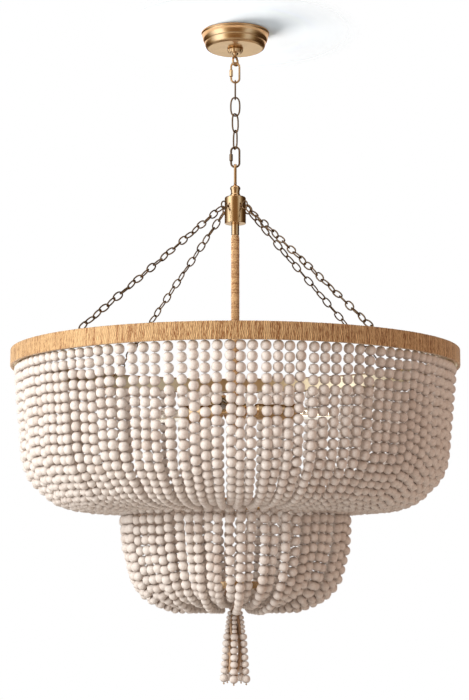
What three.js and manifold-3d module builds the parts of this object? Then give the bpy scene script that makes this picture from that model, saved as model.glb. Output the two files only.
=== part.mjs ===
// A beaded chandelier. A brass canopy and a short chain carry a hub and stem, four fine chains carry a
// fibre-wrapped rim, and beaded strands hang from the rim in two tiers, with a beaded tassel below.
// Millimetres, +Z up. The origin is on the ceiling, on the chandelier's axis.
import * as THREE from "three";
import { mergeVertices } from "three/addons/utils/BufferGeometryUtils.js";
import Module from "manifold-3d";

const wasm = await Module();
wasm.setup();

// Fits that every piece shares
const seatGap = 0.3;
const fuseDepth = 1;
const cutOverrun = 1;

// Ceiling bracket, hidden by the canopy
const crossbarLength = 100;
const crossbarWidth = 22;
const crossbarThickness = 3;
const slotSpacing = 70;
const slotLength = 12;
const screwRadius = 2;
const screwHeadRadius = 4.2;
const screwHeadHeight = 3;
const screwHeadShares = [
  [0, 1],
  [0.6, 1],
  [1, 0.5],
  [1, 0],
];
const nippleRadius = 5;
const nippleBoreRadius = 3;
const nippleLength = 29;
const locknutRadius = 9;
const locknutHeight = 5;

// Canopy: a spun shell from the lip at the ceiling to the flat plate
const canopyRadius = 71.5;
const canopyHeight = 34.5;
const canopyWall = 1.3;
const canopyOutlineShares = [
  [1, 0],
  [1, 0.09],
  [0.975, 0.13],
  [0.955, 0.4],
  [0.91, 0.56],
  [0.88, 0.6],
  [0.855, 0.84],
  [0.79, 1],
];
const canopyInnerShares = [
  [0.79, 1],
  [0.88, 0.6],
  [0.955, 0.4],
  [0.975, 0.13],
  [1, 0],
];

// Threaded loop in the canopy's centre, and the collar on it that holds the canopy up
const loopBarrelRadius = 11;
const loopBarrelReveal = 0.6;
const loopThreadEngagement = 11.5;
const loopNeckRadius = 6.5;
const loopNeckLength = 5.5;
const loopHoleRadius = 6.5;
const loopRingThickness = 5;
const loopTurn = 58;
const collarRadius = 16.5;
const collarHeight = 8;
const collarTaperShare = 0.85;
const collarNotches = 12;
const collarNotchDepth = 1;
const collarToothShares = [
  [0, 0],
  [0.55, 0],
  [0.65, 1],
  [0.9, 1],
];

// Chain between the canopy and the fixture: two quick links and four oval links
const quickLinkLength = 47.5;
const quickLinkWidth = 21.5;
const quickLinkWire = 4.2;
const quickLinkOpening = 6;
const quickLinkOpeningDrop = 4;
const sleeveLength = 14;
const sleeveLap = 1;
const sleeveRadius = 4.3;
const ovalLinkLength = 43.2;
const ovalLinkWidth = 22;
const ovalLinkWire = 3.4;
const ovalLinkTurns = [90, 0, 50, -67];
const ovalPower = 2.6;
const slantRiseShare = 1.2;

// Fixture loop with its threaded pin, and the spool that the pin passes through
const fixtureLoopLength = 47;
const fixtureLoopWidth = 24;
const fixtureLoopThickness = 4;
const fixtureLoopBreadth = 6;
const pinRadius = 5;
const spoolRadius = 10.8;
const spoolHeight = 22;
const spoolOutlineShares = [
  [0.92, 0],
  [1, 0.12],
  [0.83, 0.45],
  [1, 0.78],
  [0.8, 1],
];

// Hub and its four eyes
const hubRadius = 22.3;
const hubHeight = 56.7;
const hubEdgeRound = 3;
const hubEdgeShares = [
  [0, 1],
  [0.3, 0.3],
  [1, 0],
];
const hubPinShare = 0.35;
const hubFerruleShare = 0.53;
const hubEyeDropShare = 0.4;
const hubEyeRadius = 8.2;
const hubEyeShank = 3;
const hubEyeShankRadius = 2.4;

// Stem: a bare ferrule under the hub, then a tube wrapped in fibre
const ferruleRadius = 8.1;
const ferruleShown = 24.5;
const stemRadius = 6.1;
const stemBoreRadius = 4;
const stemWrapRadius = 8.7;
const stemWrapTaper = 5;

// Rim: a hoop of angle section that carries the strands, wrapped in fibre
const rimDrop = 679;
const rimRadius = 457;
const rimHeight = 34.5;
const wrapThickness = 2.3;
const wrapTopWidth = 7.6;
const wrapBottomWidth = 5.8;
const hoopThickness = 2.4;
const hoopFlangeReveal = 5.5;
const rimEyeRadius = 5.5;
const rimEyeDrop = 11;

// Fine chain from the hub to the rim. Each link is turned on from the last by the same angle.
const chainWireRadius = 1.5;
const fineLinkPitch = 22.3;
const fineLinkWidth = 16;
const fineLinkTurn = 108;
const fineLinkEndShare = 0.55;
const fineLinkFuseShare = 0.35;
const rimChainAngles = [40, 128, 227, 306];

// Strands: the largest bead, the wire they are strung on, and the ring between the tiers
const beadRadius = 9.3;
const stringWireRadius = 1.2;
const lowerRingRadius = 232;
const lowerRingWire = 4;

// Upper tier: each station is a share of the way out from the ring, of the drop and of the bead's size
const upperStrandCount = 120;
const upperPanels = 8;
const upperTierDrop = 318;
const lowerRingRise = 10;
const rimShoulder = 1.4;
const upperStationShares = [
  [1, 0, 1],
  [0.907, 0.66, 0.93],
  [0.765, 0.865, 0.87],
  [0.55, 0.969, 0.83],
  [0.045, 1, 0.63],
];

// Lower tier: the same shares, from the lower ring in to the gathering ring
const lowerStrandCount = 64;
const lowerPanels = 4;
const lowerTierHeight = 211;
const ringShoulder = 4;
const lowerStationShares = [
  [1, 0, 0.98],
  [0.93, 0.52, 0.96],
  [0.82, 0.775, 0.9],
  [0.57, 0.945, 0.7],
  [0.085, 1, 0.3],
];

// Gathering ring at the bottom of the lower tier, with the bar that carries the tassel
const gatherRingRadius = 49.4;
const gatherRingWall = 2;
const gatherRingHeight = 14;
const gatherRingRise = 42;
const gatherBarWidth = 9;
const gatherBarThickness = 2.4;
const gatherHolePlay = 0.6;

// Tassel: a knotted cord that fans out into strands of beads, from small beads to oval ends
const tasselCordRadius = 1.7;
const tasselCordLength = 43;
const tasselKnotRadius = 4.4;
const tasselFanLength = 10;
const tasselStrands = 6;
const tasselTurnShare = 0.75;
const tasselBeadRadius = 6.9;
const tasselBeadPitch = 13.6;
const tasselRunShares = [
  { count: 5, size: 0.667, pitch: 0.654 },
  { count: 6, size: 1, pitch: 1 },
  { count: 1, size: 1.13, pitch: 1.206 },
];
const tasselTopSpread = 10;
const tasselBottomSpread = 23;
const tasselThreadRadius = 1.6;
const tasselThreadEnd = 5;

// Lamp cluster on the stem's lower end
const lampDrop = 118.6;
const lampBodyRadius = 24;
const lampBodyHeight = 46;
const lampBodyOutlineShares = [
  [0.5, 0],
  [0.85, 0.1],
  [1, 0.28],
  [1, 0.72],
  [0.85, 0.9],
  [0.5, 1],
];
const socketAngles = [20, 140, 260];
const socketRadius = 16.5;
const socketWall = 2.6;
const socketLength = 110;
const socketStubRadius = 6;
const socketStubLength = 14;
const socketShoulder = 8;
const socketRimRadius = 18.8;
const socketRimLength = 6;
const socketBoreDepth = 30;
const bulbRadius = 12.6;
const bulbLength = 118;
const bulbNeckLength = 4;
const bulbEndLength = 14;
const bulbEndShares = [
  [1, 0],
  [0.85, 0.5],
  [0, 1],
];
const finialRadius = 10;
const finialHeight = 16;
const finialPlugLength = 8;
const finialOutlineShares = [
  [0.9, 0],
  [0.9, 0.2],
  [0.5, 0.32],
  [1, 0.62],
  [0.65, 0.92],
  [0, 1],
];

// How finely round shapes are cut
const rimSides = 48;
const ringSides = 48;
const gatherSides = 30;
const canopySides = 20;
const roundSides = 18;
const smallSides = 10;
const linkSteps = 12;
const eyeSteps = 8;
const broadWireSides = 6;
const linkWireSides = 5;
const beadSides = 4;
const fineWireSides = 3;
const strandSides = 3;
const ringWireSides = 4;
const nutSides = 6;
const lampBodySides = 12;

// Colours and finishes
const finishes = {
  antiqueBrass: { color: 0xb08a52, metalness: 0.9, roughness: 0.35 },
  darkBrass: { color: 0x6b5436, metalness: 0.85, roughness: 0.45 },
  steel: { color: 0xb9bbbd, metalness: 0.9, roughness: 0.4 },
  fibre: { color: 0xc49a63, metalness: 0, roughness: 0.85 },
  bead: { color: 0xe9ddd0, metalness: 0, roughness: 0.75 },
  glass: { color: 0xf4e3b8, metalness: 0, roughness: 0.1 },
};

const full = 2 * Math.PI;
const quarter = Math.PI / 2;
const { degToRad, lerp } = THREE.MathUtils;
const chandelier = new THREE.Group();

// Geometry helpers

function facingOut(geometry) {
  const bare = geometry.clone();
  bare.deleteAttribute("normal");
  bare.deleteAttribute("uv");
  const solid = mergeVertices(bare);
  const point = solid.getAttribute("position");
  const index = solid.getIndex();
  const corners = [0, 1, 2].map(() => new THREE.Vector3());
  let volume = 0;
  for (let i = 0; i < index.count; i += corners.length) {
    corners.forEach((corner, k) => corner.fromBufferAttribute(point, index.getX(i + k)));
    volume += corners[0].dot(corners[1].clone().cross(corners[2]));
  }
  if (volume < 0) {
    solid.setIndex([...index.array].reverse());
  }
  solid.computeVertexNormals();
  return solid;
}

function manifoldOf(geometry) {
  const solid = facingOut(geometry);
  const vertProperties = new Float32Array(solid.getAttribute("position").array);
  const triVerts = new Uint32Array(solid.getIndex().array);
  return new wasm.Manifold(new wasm.Mesh({ numProp: 3, vertProperties, triVerts }));
}

function geometryOf(manifold) {
  const mesh = manifold.getMesh();
  const geometry = new THREE.BufferGeometry();
  geometry.setAttribute("position", new THREE.BufferAttribute(mesh.vertProperties, 3));
  geometry.setIndex(new THREE.BufferAttribute(mesh.triVerts, 1));
  geometry.computeVertexNormals();
  return geometry;
}

function joined(geometries) {
  return geometryOf(geometries.map(manifoldOf).reduce((whole, piece) => whole.add(piece)));
}

function cut(geometry, tool) {
  return geometryOf(manifoldOf(geometry).subtract(manifoldOf(tool)));
}

function placed(geometry, x, y, z) {
  return geometry.clone().translate(x, y, z);
}

// Radius of a faceted hole that clears a round bar all the way round.
function holeFor(radius, sides) {
  return (radius + seatGap) / Math.cos(Math.PI / sides);
}

// A flat point on a circle, a share of the way round it.
function onCircle(radius, share) {
  return new THREE.Vector2(radius * Math.cos(share * full), radius * Math.sin(share * full));
}

// Points of an outline, from shares of a radius and of a height that starts at a level.
function outlineOf(shares, radius, level, height) {
  return shares.map(([out, up]) => [out * radius, level + up * height]);
}

// A profile of [radius, height] turned about the Z axis. Where it stays off the axis it closes on itself.
function turned(profile, sides) {
  const points = profile.map(([radius, height]) => new THREE.Vector2(radius, height));
  if (profile[0][0] > 0) {
    points.push(points[0].clone());
  }
  return facingOut(new THREE.LatheGeometry(points, sides).rotateX(quarter));
}

function bar(radius, low, high, sides) {
  return turned([[0, low], [radius, low], [radius, high], [0, high]], sides);
}

function tube(outer, inner, low, high, sides) {
  return turned([[inner, low], [outer, low], [outer, high], [inner, high]], sides);
}

function plate(outline, thickness) {
  const settings = { depth: thickness, bevelEnabled: false, curveSegments: smallSides / 2 };
  return facingOut(new THREE.ExtrudeGeometry(outline, settings));
}

function roundHole(barRadius) {
  return new THREE.Path().absarc(0, 0, holeFor(barRadius, smallSides), 0, full);
}

// A six-sided nut with a round hole for a bar.
function hexNut(radius, barRadius, height) {
  const corners = Array.from({ length: nutSides }, (_, i) => onCircle(radius, i / nutSides));
  const outline = new THREE.Shape(corners);
  outline.holes.push(roundHole(barRadius));
  return plate(outline, height);
}

// A surface through rings of points. An endless one closes on its first ring, others are capped.
function skinned(rings, endless) {
  const sides = rings[0].length;
  const index = [];
  const spans = endless ? rings.length : rings.length - 1;
  for (let i = 0; i < spans; i += 1) {
    const near = i * sides;
    const far = ((i + 1) % rings.length) * sides;
    for (let j = 0; j < sides; j += 1) {
      const next = (j + 1) % sides;
      index.push(near + j, far + j, far + next, near + j, far + next, near + next);
    }
  }
  if (!endless) {
    const last = (rings.length - 1) * sides;
    for (let j = 1; j < sides - 1; j += 1) {
      index.push(0, j, j + 1);
      index.push(last, last + j + 1, last + j);
    }
  }
  const geometry = new THREE.BufferGeometry().setFromPoints(rings.flat());
  geometry.setIndex(index);
  return facingOut(geometry);
}

// Wire bent clockwise along points in the XZ plane. Its half sizes are radial and axial, and one corner
// of its section faces the inside of the bend, where another loop bears on it.
function bentWire(points, radial, axial, sides, endless) {
  const rings = points.map((point, i) => {
    const before = points[endless ? (i - 1 + points.length) % points.length : Math.max(i - 1, 0)];
    const after = points[endless ? (i + 1) % points.length : Math.min(i + 1, points.length - 1)];
    const arrive = point.clone().sub(before).normalize();
    const leave = after.clone().sub(point).normalize();
    const along = arrive.clone().add(leave).normalize();
    const mitre = 1 / Math.max(along.dot(arrive), along.dot(leave));
    return Array.from({ length: sides }, (_, j) => {
      const corner = onCircle(1, j / sides);
      const across = mitre * radial * corner.x;
      return new THREE.Vector3(point.x + along.y * across, axial * corner.y, point.y - along.x * across);
    });
  });
  return skinned(rings, endless);
}

// Clockwise centre line of a round or oval loop in the XZ plane. A power over 2 squares its shoulders.
function loopPoints(halfWidth, halfLength, power, steps) {
  const bend = (value) => Math.sign(value) * Math.abs(value) ** (2 / power);
  return Array.from({ length: steps }, (_, i) => {
    const around = onCircle(1, i / steps);
    return new THREE.Vector2(halfWidth * bend(around.y), halfLength * bend(around.x));
  });
}

function wireRing(radius, wireRadius, sides) {
  return bentWire(loopPoints(radius, radius, 2, eyeSteps), wireRadius, wireRadius, sides, true);
}

function addPiece(name, geometry, finish, { z = 0, turn = 0, group = chandelier } = {}) {
  const mesh = new THREE.Mesh(geometry, new THREE.MeshStandardMaterial(finishes[finish]));
  mesh.name = name;
  mesh.position.z = z;
  mesh.rotation.z = degToRad(turn);
  group.add(mesh);
}

// Ceiling bracket

// A flat outline with round ends, for the crossbar and its slots.
function capsule(shape, middle, reach, radius) {
  shape.absarc(middle + reach, 0, radius, -quarter, quarter);
  shape.absarc(middle - reach, 0, radius, quarter, full - quarter);
  return shape;
}

function crossbar() {
  const endRadius = crossbarWidth / 2;
  const slotRadius = holeFor(screwRadius, smallSides);
  const slotReach = slotLength / 2 - slotRadius;
  const outline = capsule(new THREE.Shape(), 0, crossbarLength / 2 - endRadius, endRadius);
  outline.holes.push(roundHole(nippleRadius));
  for (const side of [-1, 1]) {
    outline.holes.push(capsule(new THREE.Path(), (side * slotSpacing) / 2, slotReach, slotRadius));
  }
  return plate(outline, crossbarThickness);
}

const bracketUnderside = -crossbarThickness - seatGap;

function bracketScrew() {
  const head = outlineOf(screwHeadShares, screwHeadRadius, bracketUnderside, -screwHeadHeight);
  return turned([...head, [screwRadius, bracketUnderside], [screwRadius, 0], [0, 0]], smallSides);
}

addPiece("crossbar", crossbar(), "steel", { z: -crossbarThickness });
for (const [name, side] of [["left", -1], ["right", 1]]) {
  addPiece(`crossbar_screw_${name}`, placed(bracketScrew(), (side * slotSpacing) / 2, 0, 0), "steel");
}
addPiece("threaded_nipple", tube(nippleRadius, nippleBoreRadius, -nippleLength, 0, smallSides), "steel");
const locknut = hexNut(locknutRadius, nippleRadius, locknutHeight);
addPiece("nipple_locknut", locknut, "steel", { z: bracketUnderside - locknutHeight });

// Canopy, threaded loop and collar

const collarBottom = -canopyHeight - seatGap - collarHeight;
const barrelBottom = collarBottom - loopBarrelReveal;
const neckBottom = barrelBottom - loopNeckLength;

function canopy() {
  const hole = holeFor(loopBarrelRadius, canopySides);
  const outer = outlineOf(canopyOutlineShares, canopyRadius, 0, -canopyHeight);
  const inner = outlineOf(canopyInnerShares, canopyRadius, 0, -canopyHeight).map(([radius, height]) => [
    radius - canopyWall,
    Math.min(height + canopyWall, 0),
  ]);
  const rim = [[hole, -canopyHeight], [hole, canopyWall - canopyHeight]];
  return turned([...outer, ...rim, ...inner], canopySides);
}

function canopyLoop() {
  const top = loopThreadEngagement - nippleLength;
  const floor = -nippleLength - seatGap;
  const socket = holeFor(nippleRadius, roundSides);
  const half = loopRingThickness / 2;
  const barrel = turned(
    [
      [0, floor],
      [socket, floor],
      [socket, top],
      [loopBarrelRadius, top],
      [loopBarrelRadius, barrelBottom],
      [loopNeckRadius, barrelBottom],
      [half, neckBottom - fuseDepth],
      [0, neckBottom - fuseDepth],
    ],
    roundSides,
  );
  const reach = loopHoleRadius + half;
  const ring = bentWire(loopPoints(reach, reach, 2, linkSteps), half, half, broadWireSides, true);
  const level = neckBottom - loopRingThickness - loopHoleRadius;
  return joined([barrel, placed(ring.rotateZ(degToRad(loopTurn)), 0, 0, level)]);
}

// The collar's outside is drawn in towards its lower face.
function collar() {
  const corners = Array.from({ length: collarNotches }, (_, i) =>
    collarToothShares.map(([around, deep]) =>
      onCircle(collarRadius - deep * collarNotchDepth, (i + around) / collarNotches),
    ),
  );
  const outline = new THREE.Shape(corners.flat());
  outline.holes.push(roundHole(loopBarrelRadius));
  const ring = plate(outline, collarHeight);
  const point = ring.getAttribute("position");
  const holeReach = holeFor(loopBarrelRadius, smallSides) + seatGap;
  for (let i = 0; i < point.count; i += 1) {
    if (point.getZ(i) === 0 && Math.hypot(point.getX(i), point.getY(i)) > holeReach) {
      point.setXY(i, point.getX(i) * collarTaperShare, point.getY(i) * collarTaperShare);
    }
  }
  return ring;
}

addPiece("canopy", canopy(), "antiqueBrass");
addPiece("canopy_loop", canopyLoop(), "antiqueBrass");
addPiece("canopy_collar", collar(), "antiqueBrass", { z: collarBottom });

// Main chain. Each loop's top wire rests on the bottom wire of the one above.

const quickLinkBend = (quickLinkWidth - quickLinkWire) / 2;

function quickLink() {
  const straight = (quickLinkLength - quickLinkWire) / 2 - quickLinkBend;
  const steps = linkSteps / 2;
  const arc = (middle, side) =>
    Array.from({ length: steps + 1 }, (_, i) => {
      const around = onCircle(side * quickLinkBend, i / steps / 2);
      return new THREE.Vector2(-around.x, middle + around.y);
    });
  const points = [
    new THREE.Vector2(-quickLinkBend, quickLinkOpening / 2 - quickLinkOpeningDrop),
    ...arc(straight, 1),
    ...arc(-straight, -1),
    new THREE.Vector2(-quickLinkBend, -quickLinkOpening / 2 - quickLinkOpeningDrop),
  ];
  return bentWire(points, quickLinkWire / 2, quickLinkWire / 2, linkWireSides, false);
}

// The threaded sleeve that closes a quick link's opening and laps its lower edge.
function linkSleeve() {
  const low = -quickLinkOpening / 2 - quickLinkOpeningDrop - sleeveLap;
  return placed(hexNut(sleeveRadius, quickLinkWire / 2, sleeveLength), -quickLinkBend, 0, low);
}

function ovalLink() {
  const wire = ovalLinkWire / 2;
  const points = loopPoints(ovalLinkWidth / 2 - wire, ovalLinkLength / 2 - wire, ovalPower, linkSteps);
  return bentWire(points, wire, wire, linkWireSides, true);
}

// Inside of the lowest loop so far, where the next one hangs, and that loop's turn
const lowest = { inside: neckBottom - loopRingThickness - 2 * loopHoleRadius, turn: loopTurn };

// Height of a loop's middle when it hangs there. It sits a little higher where two loops cross aslant.
function hang(length, wire, turn) {
  const slant = 1 - Math.abs(Math.sin(degToRad(turn - lowest.turn)));
  const top = lowest.inside + seatGap + wire * (1 + slant * slantRiseShare);
  lowest.inside = top - length + wire;
  lowest.turn = turn;
  return top - length / 2;
}

function addQuickLink(place) {
  const z = hang(quickLinkLength, quickLinkWire, 0);
  addPiece(`${place}_quick_link`, quickLink(), "darkBrass", { z });
  addPiece(`${place}_link_sleeve`, linkSleeve(), "darkBrass", { z });
}

addQuickLink("upper");
ovalLinkTurns.forEach((turn, i) => {
  const z = hang(ovalLinkLength, ovalLinkWire, turn);
  addPiece(`chain_link_${i + 1}`, ovalLink(), "darkBrass", { z, turn });
});
addQuickLink("lower");

// Fixture loop, spool and hub

const acrossTurn = 90;
const fixtureLoopMiddle = hang(fixtureLoopLength, fixtureLoopThickness, acrossTurn);
const fixtureLoopBottom = fixtureLoopMiddle - fixtureLoopLength / 2;
const spoolBottom = fixtureLoopBottom - seatGap - spoolHeight;
const hubTop = spoolBottom - seatGap;
const hubBottom = hubTop - hubHeight;
const ferruleTop = hubBottom + hubHeight * hubFerruleShare;

function fixtureLoop() {
  const thin = fixtureLoopThickness / 2;
  const line = loopPoints(fixtureLoopWidth / 2 - thin, fixtureLoopLength / 2 - thin, ovalPower, linkSteps);
  const loop = bentWire(line, thin, fixtureLoopBreadth / 2, broadWireSides, true).rotateZ(quarter);
  const pin = bar(pinRadius, hubTop - hubHeight * hubPinShare, fixtureLoopBottom + thin, smallSides);
  return joined([placed(loop, 0, 0, fixtureLoopMiddle), pin]);
}

function spool() {
  const hole = holeFor(pinRadius, roundSides);
  const outline = outlineOf(spoolOutlineShares, spoolRadius, spoolBottom, spoolHeight);
  return turned([[hole, spoolBottom], ...outline, [hole, spoolBottom + spoolHeight]], roundSides);
}

function hub() {
  const bore = holeFor(ferruleRadius, roundSides);
  const pinHole = holeFor(pinRadius, roundSides);
  const shoulder = ferruleTop + seatGap;
  const edge = hubEdgeShares.map(([inward, down]) => [
    hubRadius - inward * hubEdgeRound,
    hubTop - down * hubEdgeRound,
  ]);
  const inside = [[pinHole, hubTop], [pinHole, shoulder], [bore, shoulder]];
  return turned([[bore, hubBottom], [hubRadius, hubBottom], ...edge, ...inside], roundSides);
}

addPiece("fixture_loop", fixtureLoop(), "antiqueBrass");
addPiece("loop_spool", spool(), "antiqueBrass");
addPiece("hub", hub(), "antiqueBrass");

// Hub eyes stand in radial planes, and each has a short shank that seats on the hub.
const shankStart = hubRadius + seatGap;
const hubEyeReach = shankStart + hubEyeShank + hubEyeRadius;
const hubEyeHeight = hubTop - hubHeight * hubEyeDropShare;

function hubEye() {
  const shank = bar(hubEyeShankRadius, shankStart, shankStart + hubEyeShank, eyeSteps).rotateY(quarter);
  const ring = placed(wireRing(hubEyeRadius, chainWireRadius, fineWireSides), hubEyeReach, 0, 0);
  return placed(joined([shank, ring]), 0, 0, hubEyeHeight);
}

rimChainAngles.forEach((turn, i) => addPiece(`hub_eye_${i + 1}`, hubEye(), "darkBrass", { turn }));

// Stem

const lampMiddle = -rimDrop - lampDrop;
const lampBodyTop = lampMiddle + lampBodyHeight / 2;
const lampBodyBottom = lampMiddle - lampBodyHeight / 2;
const ferruleBottom = hubBottom - ferruleShown;
const stemHole = holeFor(stemRadius, smallSides);

function stemWrap() {
  const low = lampBodyTop + seatGap;
  const high = ferruleBottom - seatGap;
  const tip = (stemHole + stemWrapRadius) / 2;
  const outer = [[stemWrapRadius, low], [stemWrapRadius, high - stemWrapTaper], [tip, high]];
  return turned([[stemHole, low], ...outer, [stemHole, high]], smallSides);
}

const ferrule = tube(ferruleRadius, stemHole, ferruleBottom, ferruleTop, smallSides);
const stemTube = tube(stemRadius, stemBoreRadius, lampBodyBottom, ferruleTop, smallSides);
addPiece("stem_ferrule", ferrule, "antiqueBrass");
addPiece("stem_tube", stemTube, "antiqueBrass");
addPiece("stem_wrap", stemWrap(), "fibre");

// Rim hoop and its wrapping. Heights here are from the rim's top.

const hoopOuter = rimRadius - wrapThickness - seatGap;
const hoopInner = hoopOuter - hoopThickness;
const hoopBottom = seatGap + wrapThickness - rimHeight;
const rimEyeReach = hoopInner - rimEyeRadius;
const strandReach = rimRadius - wrapBottomWidth - beadRadius;

function rimHoop() {
  const flangeReach = strandReach - hoopFlangeReveal;
  const flangeTop = hoopBottom + hoopThickness;
  const hoop = turned(
    [
      [hoopInner, -wrapThickness - seatGap],
      [hoopOuter, -wrapThickness - seatGap],
      [hoopOuter, hoopBottom],
      [flangeReach, hoopBottom],
      [flangeReach, flangeTop],
      [hoopInner, flangeTop],
    ],
    rimSides,
  );
  const eye = placed(wireRing(rimEyeRadius, chainWireRadius, fineWireSides), rimEyeReach, 0, -rimEyeDrop);
  return joined([hoop, ...rimChainAngles.map((angle) => eye.clone().rotateZ(degToRad(angle)))]);
}

function rimWrap() {
  const inner = rimRadius - wrapThickness;
  return turned(
    [
      [rimRadius, 0],
      [rimRadius - wrapTopWidth, 0],
      [inner, -wrapThickness],
      [inner, wrapThickness - rimHeight],
      [rimRadius - wrapBottomWidth, -rimHeight],
      [rimRadius, -rimHeight],
    ],
    rimSides,
  );
}

addPiece("rim_hoop", rimHoop(), "antiqueBrass", { z: -rimDrop });
addPiece("rim_wrap", rimWrap(), "fibre", { z: -rimDrop });

// Fine chains. The links are sized to fill the span between the two eyes, in one radial plane.

function fineLink(halfLength) {
  const halfWidth = fineLinkWidth / 2 - chainWireRadius;
  const halfEnd = halfWidth * fineLinkEndShare;
  const points = [
    [halfEnd, halfLength],
    [halfWidth, 0],
    [halfEnd, -halfLength],
    [-halfEnd, -halfLength],
    [-halfWidth, 0],
    [-halfEnd, halfLength],
  ].map(([x, z]) => new THREE.Vector2(x, z));
  return bentWire(points, chainWireRadius, chainWireRadius, fineWireSides, true);
}

function rimChain() {
  const start = new THREE.Vector3(hubEyeReach, 0, hubEyeHeight);
  const end = new THREE.Vector3(rimEyeReach, 0, -rimDrop - rimEyeDrop);
  const pull = end.clone().sub(start).normalize();
  const bearing = 2 * chainWireRadius + seatGap;
  start.addScaledVector(pull, hubEyeRadius - bearing);
  end.addScaledVector(pull, bearing - rimEyeRadius);
  const contact = chainWireRadius * (2 - fineLinkFuseShare);
  const span = start.distanceTo(end) - contact;
  const count = Math.max(2, Math.round(span / fineLinkPitch));
  const pitch = span / count;
  const halfLength = (pitch + contact) / 2;
  const turn = (Math.round(((count - 1) * fineLinkTurn) / 180) * Math.PI) / (count - 1);
  const along = new THREE.Quaternion().setFromUnitVectors(new THREE.Vector3(0, 0, -1), pull);
  const links = Array.from({ length: count }, (_, i) => {
    const middle = start.clone().addScaledVector(pull, halfLength + i * pitch);
    const link = fineLink(halfLength).rotateZ(quarter + i * turn).applyQuaternion(along);
    return placed(link, middle.x, middle.y, middle.z);
  });
  return joined(links);
}

rimChainAngles.forEach((turn, i) => addPiece(`rim_chain_${i + 1}`, rimChain(), "darkBrass", { turn }));

// Strands. Beads are strung close, so each strand is a bar as thick as its beads, and the wire that they
// are strung on runs across to the next strand, over the ring that carries them.

const halfStep = 0.5;

function strandRun(stations, firstAngle, stepAngle, count) {
  const rings = [];
  const last = stations.length - 1;
  const addRing = (strand, at, heading) => {
    const angle = firstAngle + strand * stepAngle;
    const station = stations[at];
    const before = stations[Math.max(at - 1, 0)];
    const after = stations[Math.min(at + 1, last)];
    const fall = new THREE.Vector2(after.reach - before.reach, after.z - before.z).normalize();
    const out = new THREE.Vector3(Math.cos(angle), Math.sin(angle), 0);
    const facing = out.clone().multiplyScalar(-fall.y).setZ(fall.x);
    const travel = out.clone().multiplyScalar(heading * fall.x).setZ(heading * fall.y);
    if (heading === 0) {
      travel.set(-Math.sin(angle), Math.cos(angle), 0);
    }
    const side = travel.cross(facing);
    const centre = out.clone().multiplyScalar(station.reach).setZ(station.z);
    rings.push(
      Array.from({ length: strandSides }, (_, j) => {
        const corner = onCircle(station.radius, j / strandSides);
        return centre.clone().addScaledVector(facing, corner.x).addScaledVector(side, corner.y);
      }),
    );
  };
  addRing(0, 0, 1);
  for (let strand = 0; strand < count; strand += 1) {
    const goesDown = strand % 2 === 0;
    for (let i = 1; i < last; i += 1) {
      addRing(strand, goesDown ? i : last - i, goesDown ? 1 : -1);
    }
    const end = goesDown ? last : 0;
    const isLast = strand === count - 1;
    addRing(isLast ? strand : strand + halfStep, end, isLast ? (goesDown ? 1 : -1) : 0);
  }
  return skinned(rings, false);
}

function addPanels(name, stations, strands, panels) {
  const step = full / strands;
  const perPanel = strands / panels;
  for (let i = 0; i < panels; i += 1) {
    const run = strandRun(stations, i * perPanel * step, step, perPanel);
    addPiece(`${name}_${i + 1}`, run, "bead", { z: -rimDrop });
  }
}

// Stations down one strand: the wire at its top, the beads between two levels, and the wire at its end.
function stationsOf(shares, topWire, top, bottom, bottomWire) {
  const beads = shares.map(([reach, drop, size]) => ({
    reach: lerp(bottom.reach, top.reach, reach),
    z: lerp(top.z, bottom.z, drop),
    radius: beadRadius * size,
  }));
  return [{ ...topWire, radius: stringWireRadius }, ...beads, { ...bottomWire, radius: stringWireRadius }];
}

const wireDrop = stringWireRadius + seatGap;
const lowerRingHeight = lowerRingRise - upperTierDrop;
const ringSideReach = (lowerRingWire + wireDrop) * Math.SQRT1_2;
const rimWireLevel = hoopBottom - wireDrop;
const upperStations = stationsOf(
  upperStationShares,
  { reach: strandReach, z: rimWireLevel },
  { reach: strandReach, z: rimWireLevel - rimShoulder },
  { reach: lowerRingRadius, z: -upperTierDrop },
  { reach: lowerRingRadius + ringSideReach, z: lowerRingHeight - ringSideReach },
);
addPanels("upper_strands", upperStations, upperStrandCount, upperPanels);

// Lower ring between the tiers

// Two corners of the ring's section face the wires that bear on it.
function lowerRing() {
  const section = Array.from({ length: ringWireSides }, (_, i) => {
    const corner = onCircle(lowerRingWire, (i + halfStep) / ringWireSides);
    return [lowerRingRadius + corner.x, corner.y];
  });
  return turned(section, ringSides);
}

addPiece("lower_ring", lowerRing(), "antiqueBrass", { z: lowerRingHeight - rimDrop });

// Lower tier, and the ring that gathers it

const lowerTierBottom = lowerRingHeight - lowerTierHeight;
const gatherRingBottom = lowerTierBottom + gatherRingRise;
const ringWireLevel = lowerRingHeight - ringSideReach;
const lowerStrandReach = lowerRingRadius - ringSideReach;
const lowerStations = stationsOf(
  lowerStationShares,
  { reach: lowerStrandReach, z: ringWireLevel },
  { reach: lowerStrandReach, z: ringWireLevel - ringShoulder },
  { reach: gatherRingRadius, z: lowerTierBottom },
  { reach: gatherRingRadius - gatherRingWall / 2, z: gatherRingBottom - wireDrop },
);
addPanels("lower_strands", lowerStations, lowerStrandCount, lowerPanels);

// The gathering ring's heights are from its lower edge.
function gatherRing() {
  const low = (gatherRingHeight - gatherBarThickness) / 2;
  const band = tube(gatherRingRadius, gatherRingRadius - gatherRingWall, 0, gatherRingHeight, gatherSides);
  const reach = 2 * gatherRingRadius - gatherRingWall;
  const strip = new THREE.BoxGeometry(reach, gatherBarWidth, gatherBarThickness);
  const holeRadius = holeFor(tasselCordRadius + gatherHolePlay, smallSides);
  const hole = bar(holeRadius, low - cutOverrun, low + gatherBarThickness + cutOverrun, smallSides);
  return joined([band, cut(placed(strip, 0, 0, gatherRingHeight / 2), hole)]);
}

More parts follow.
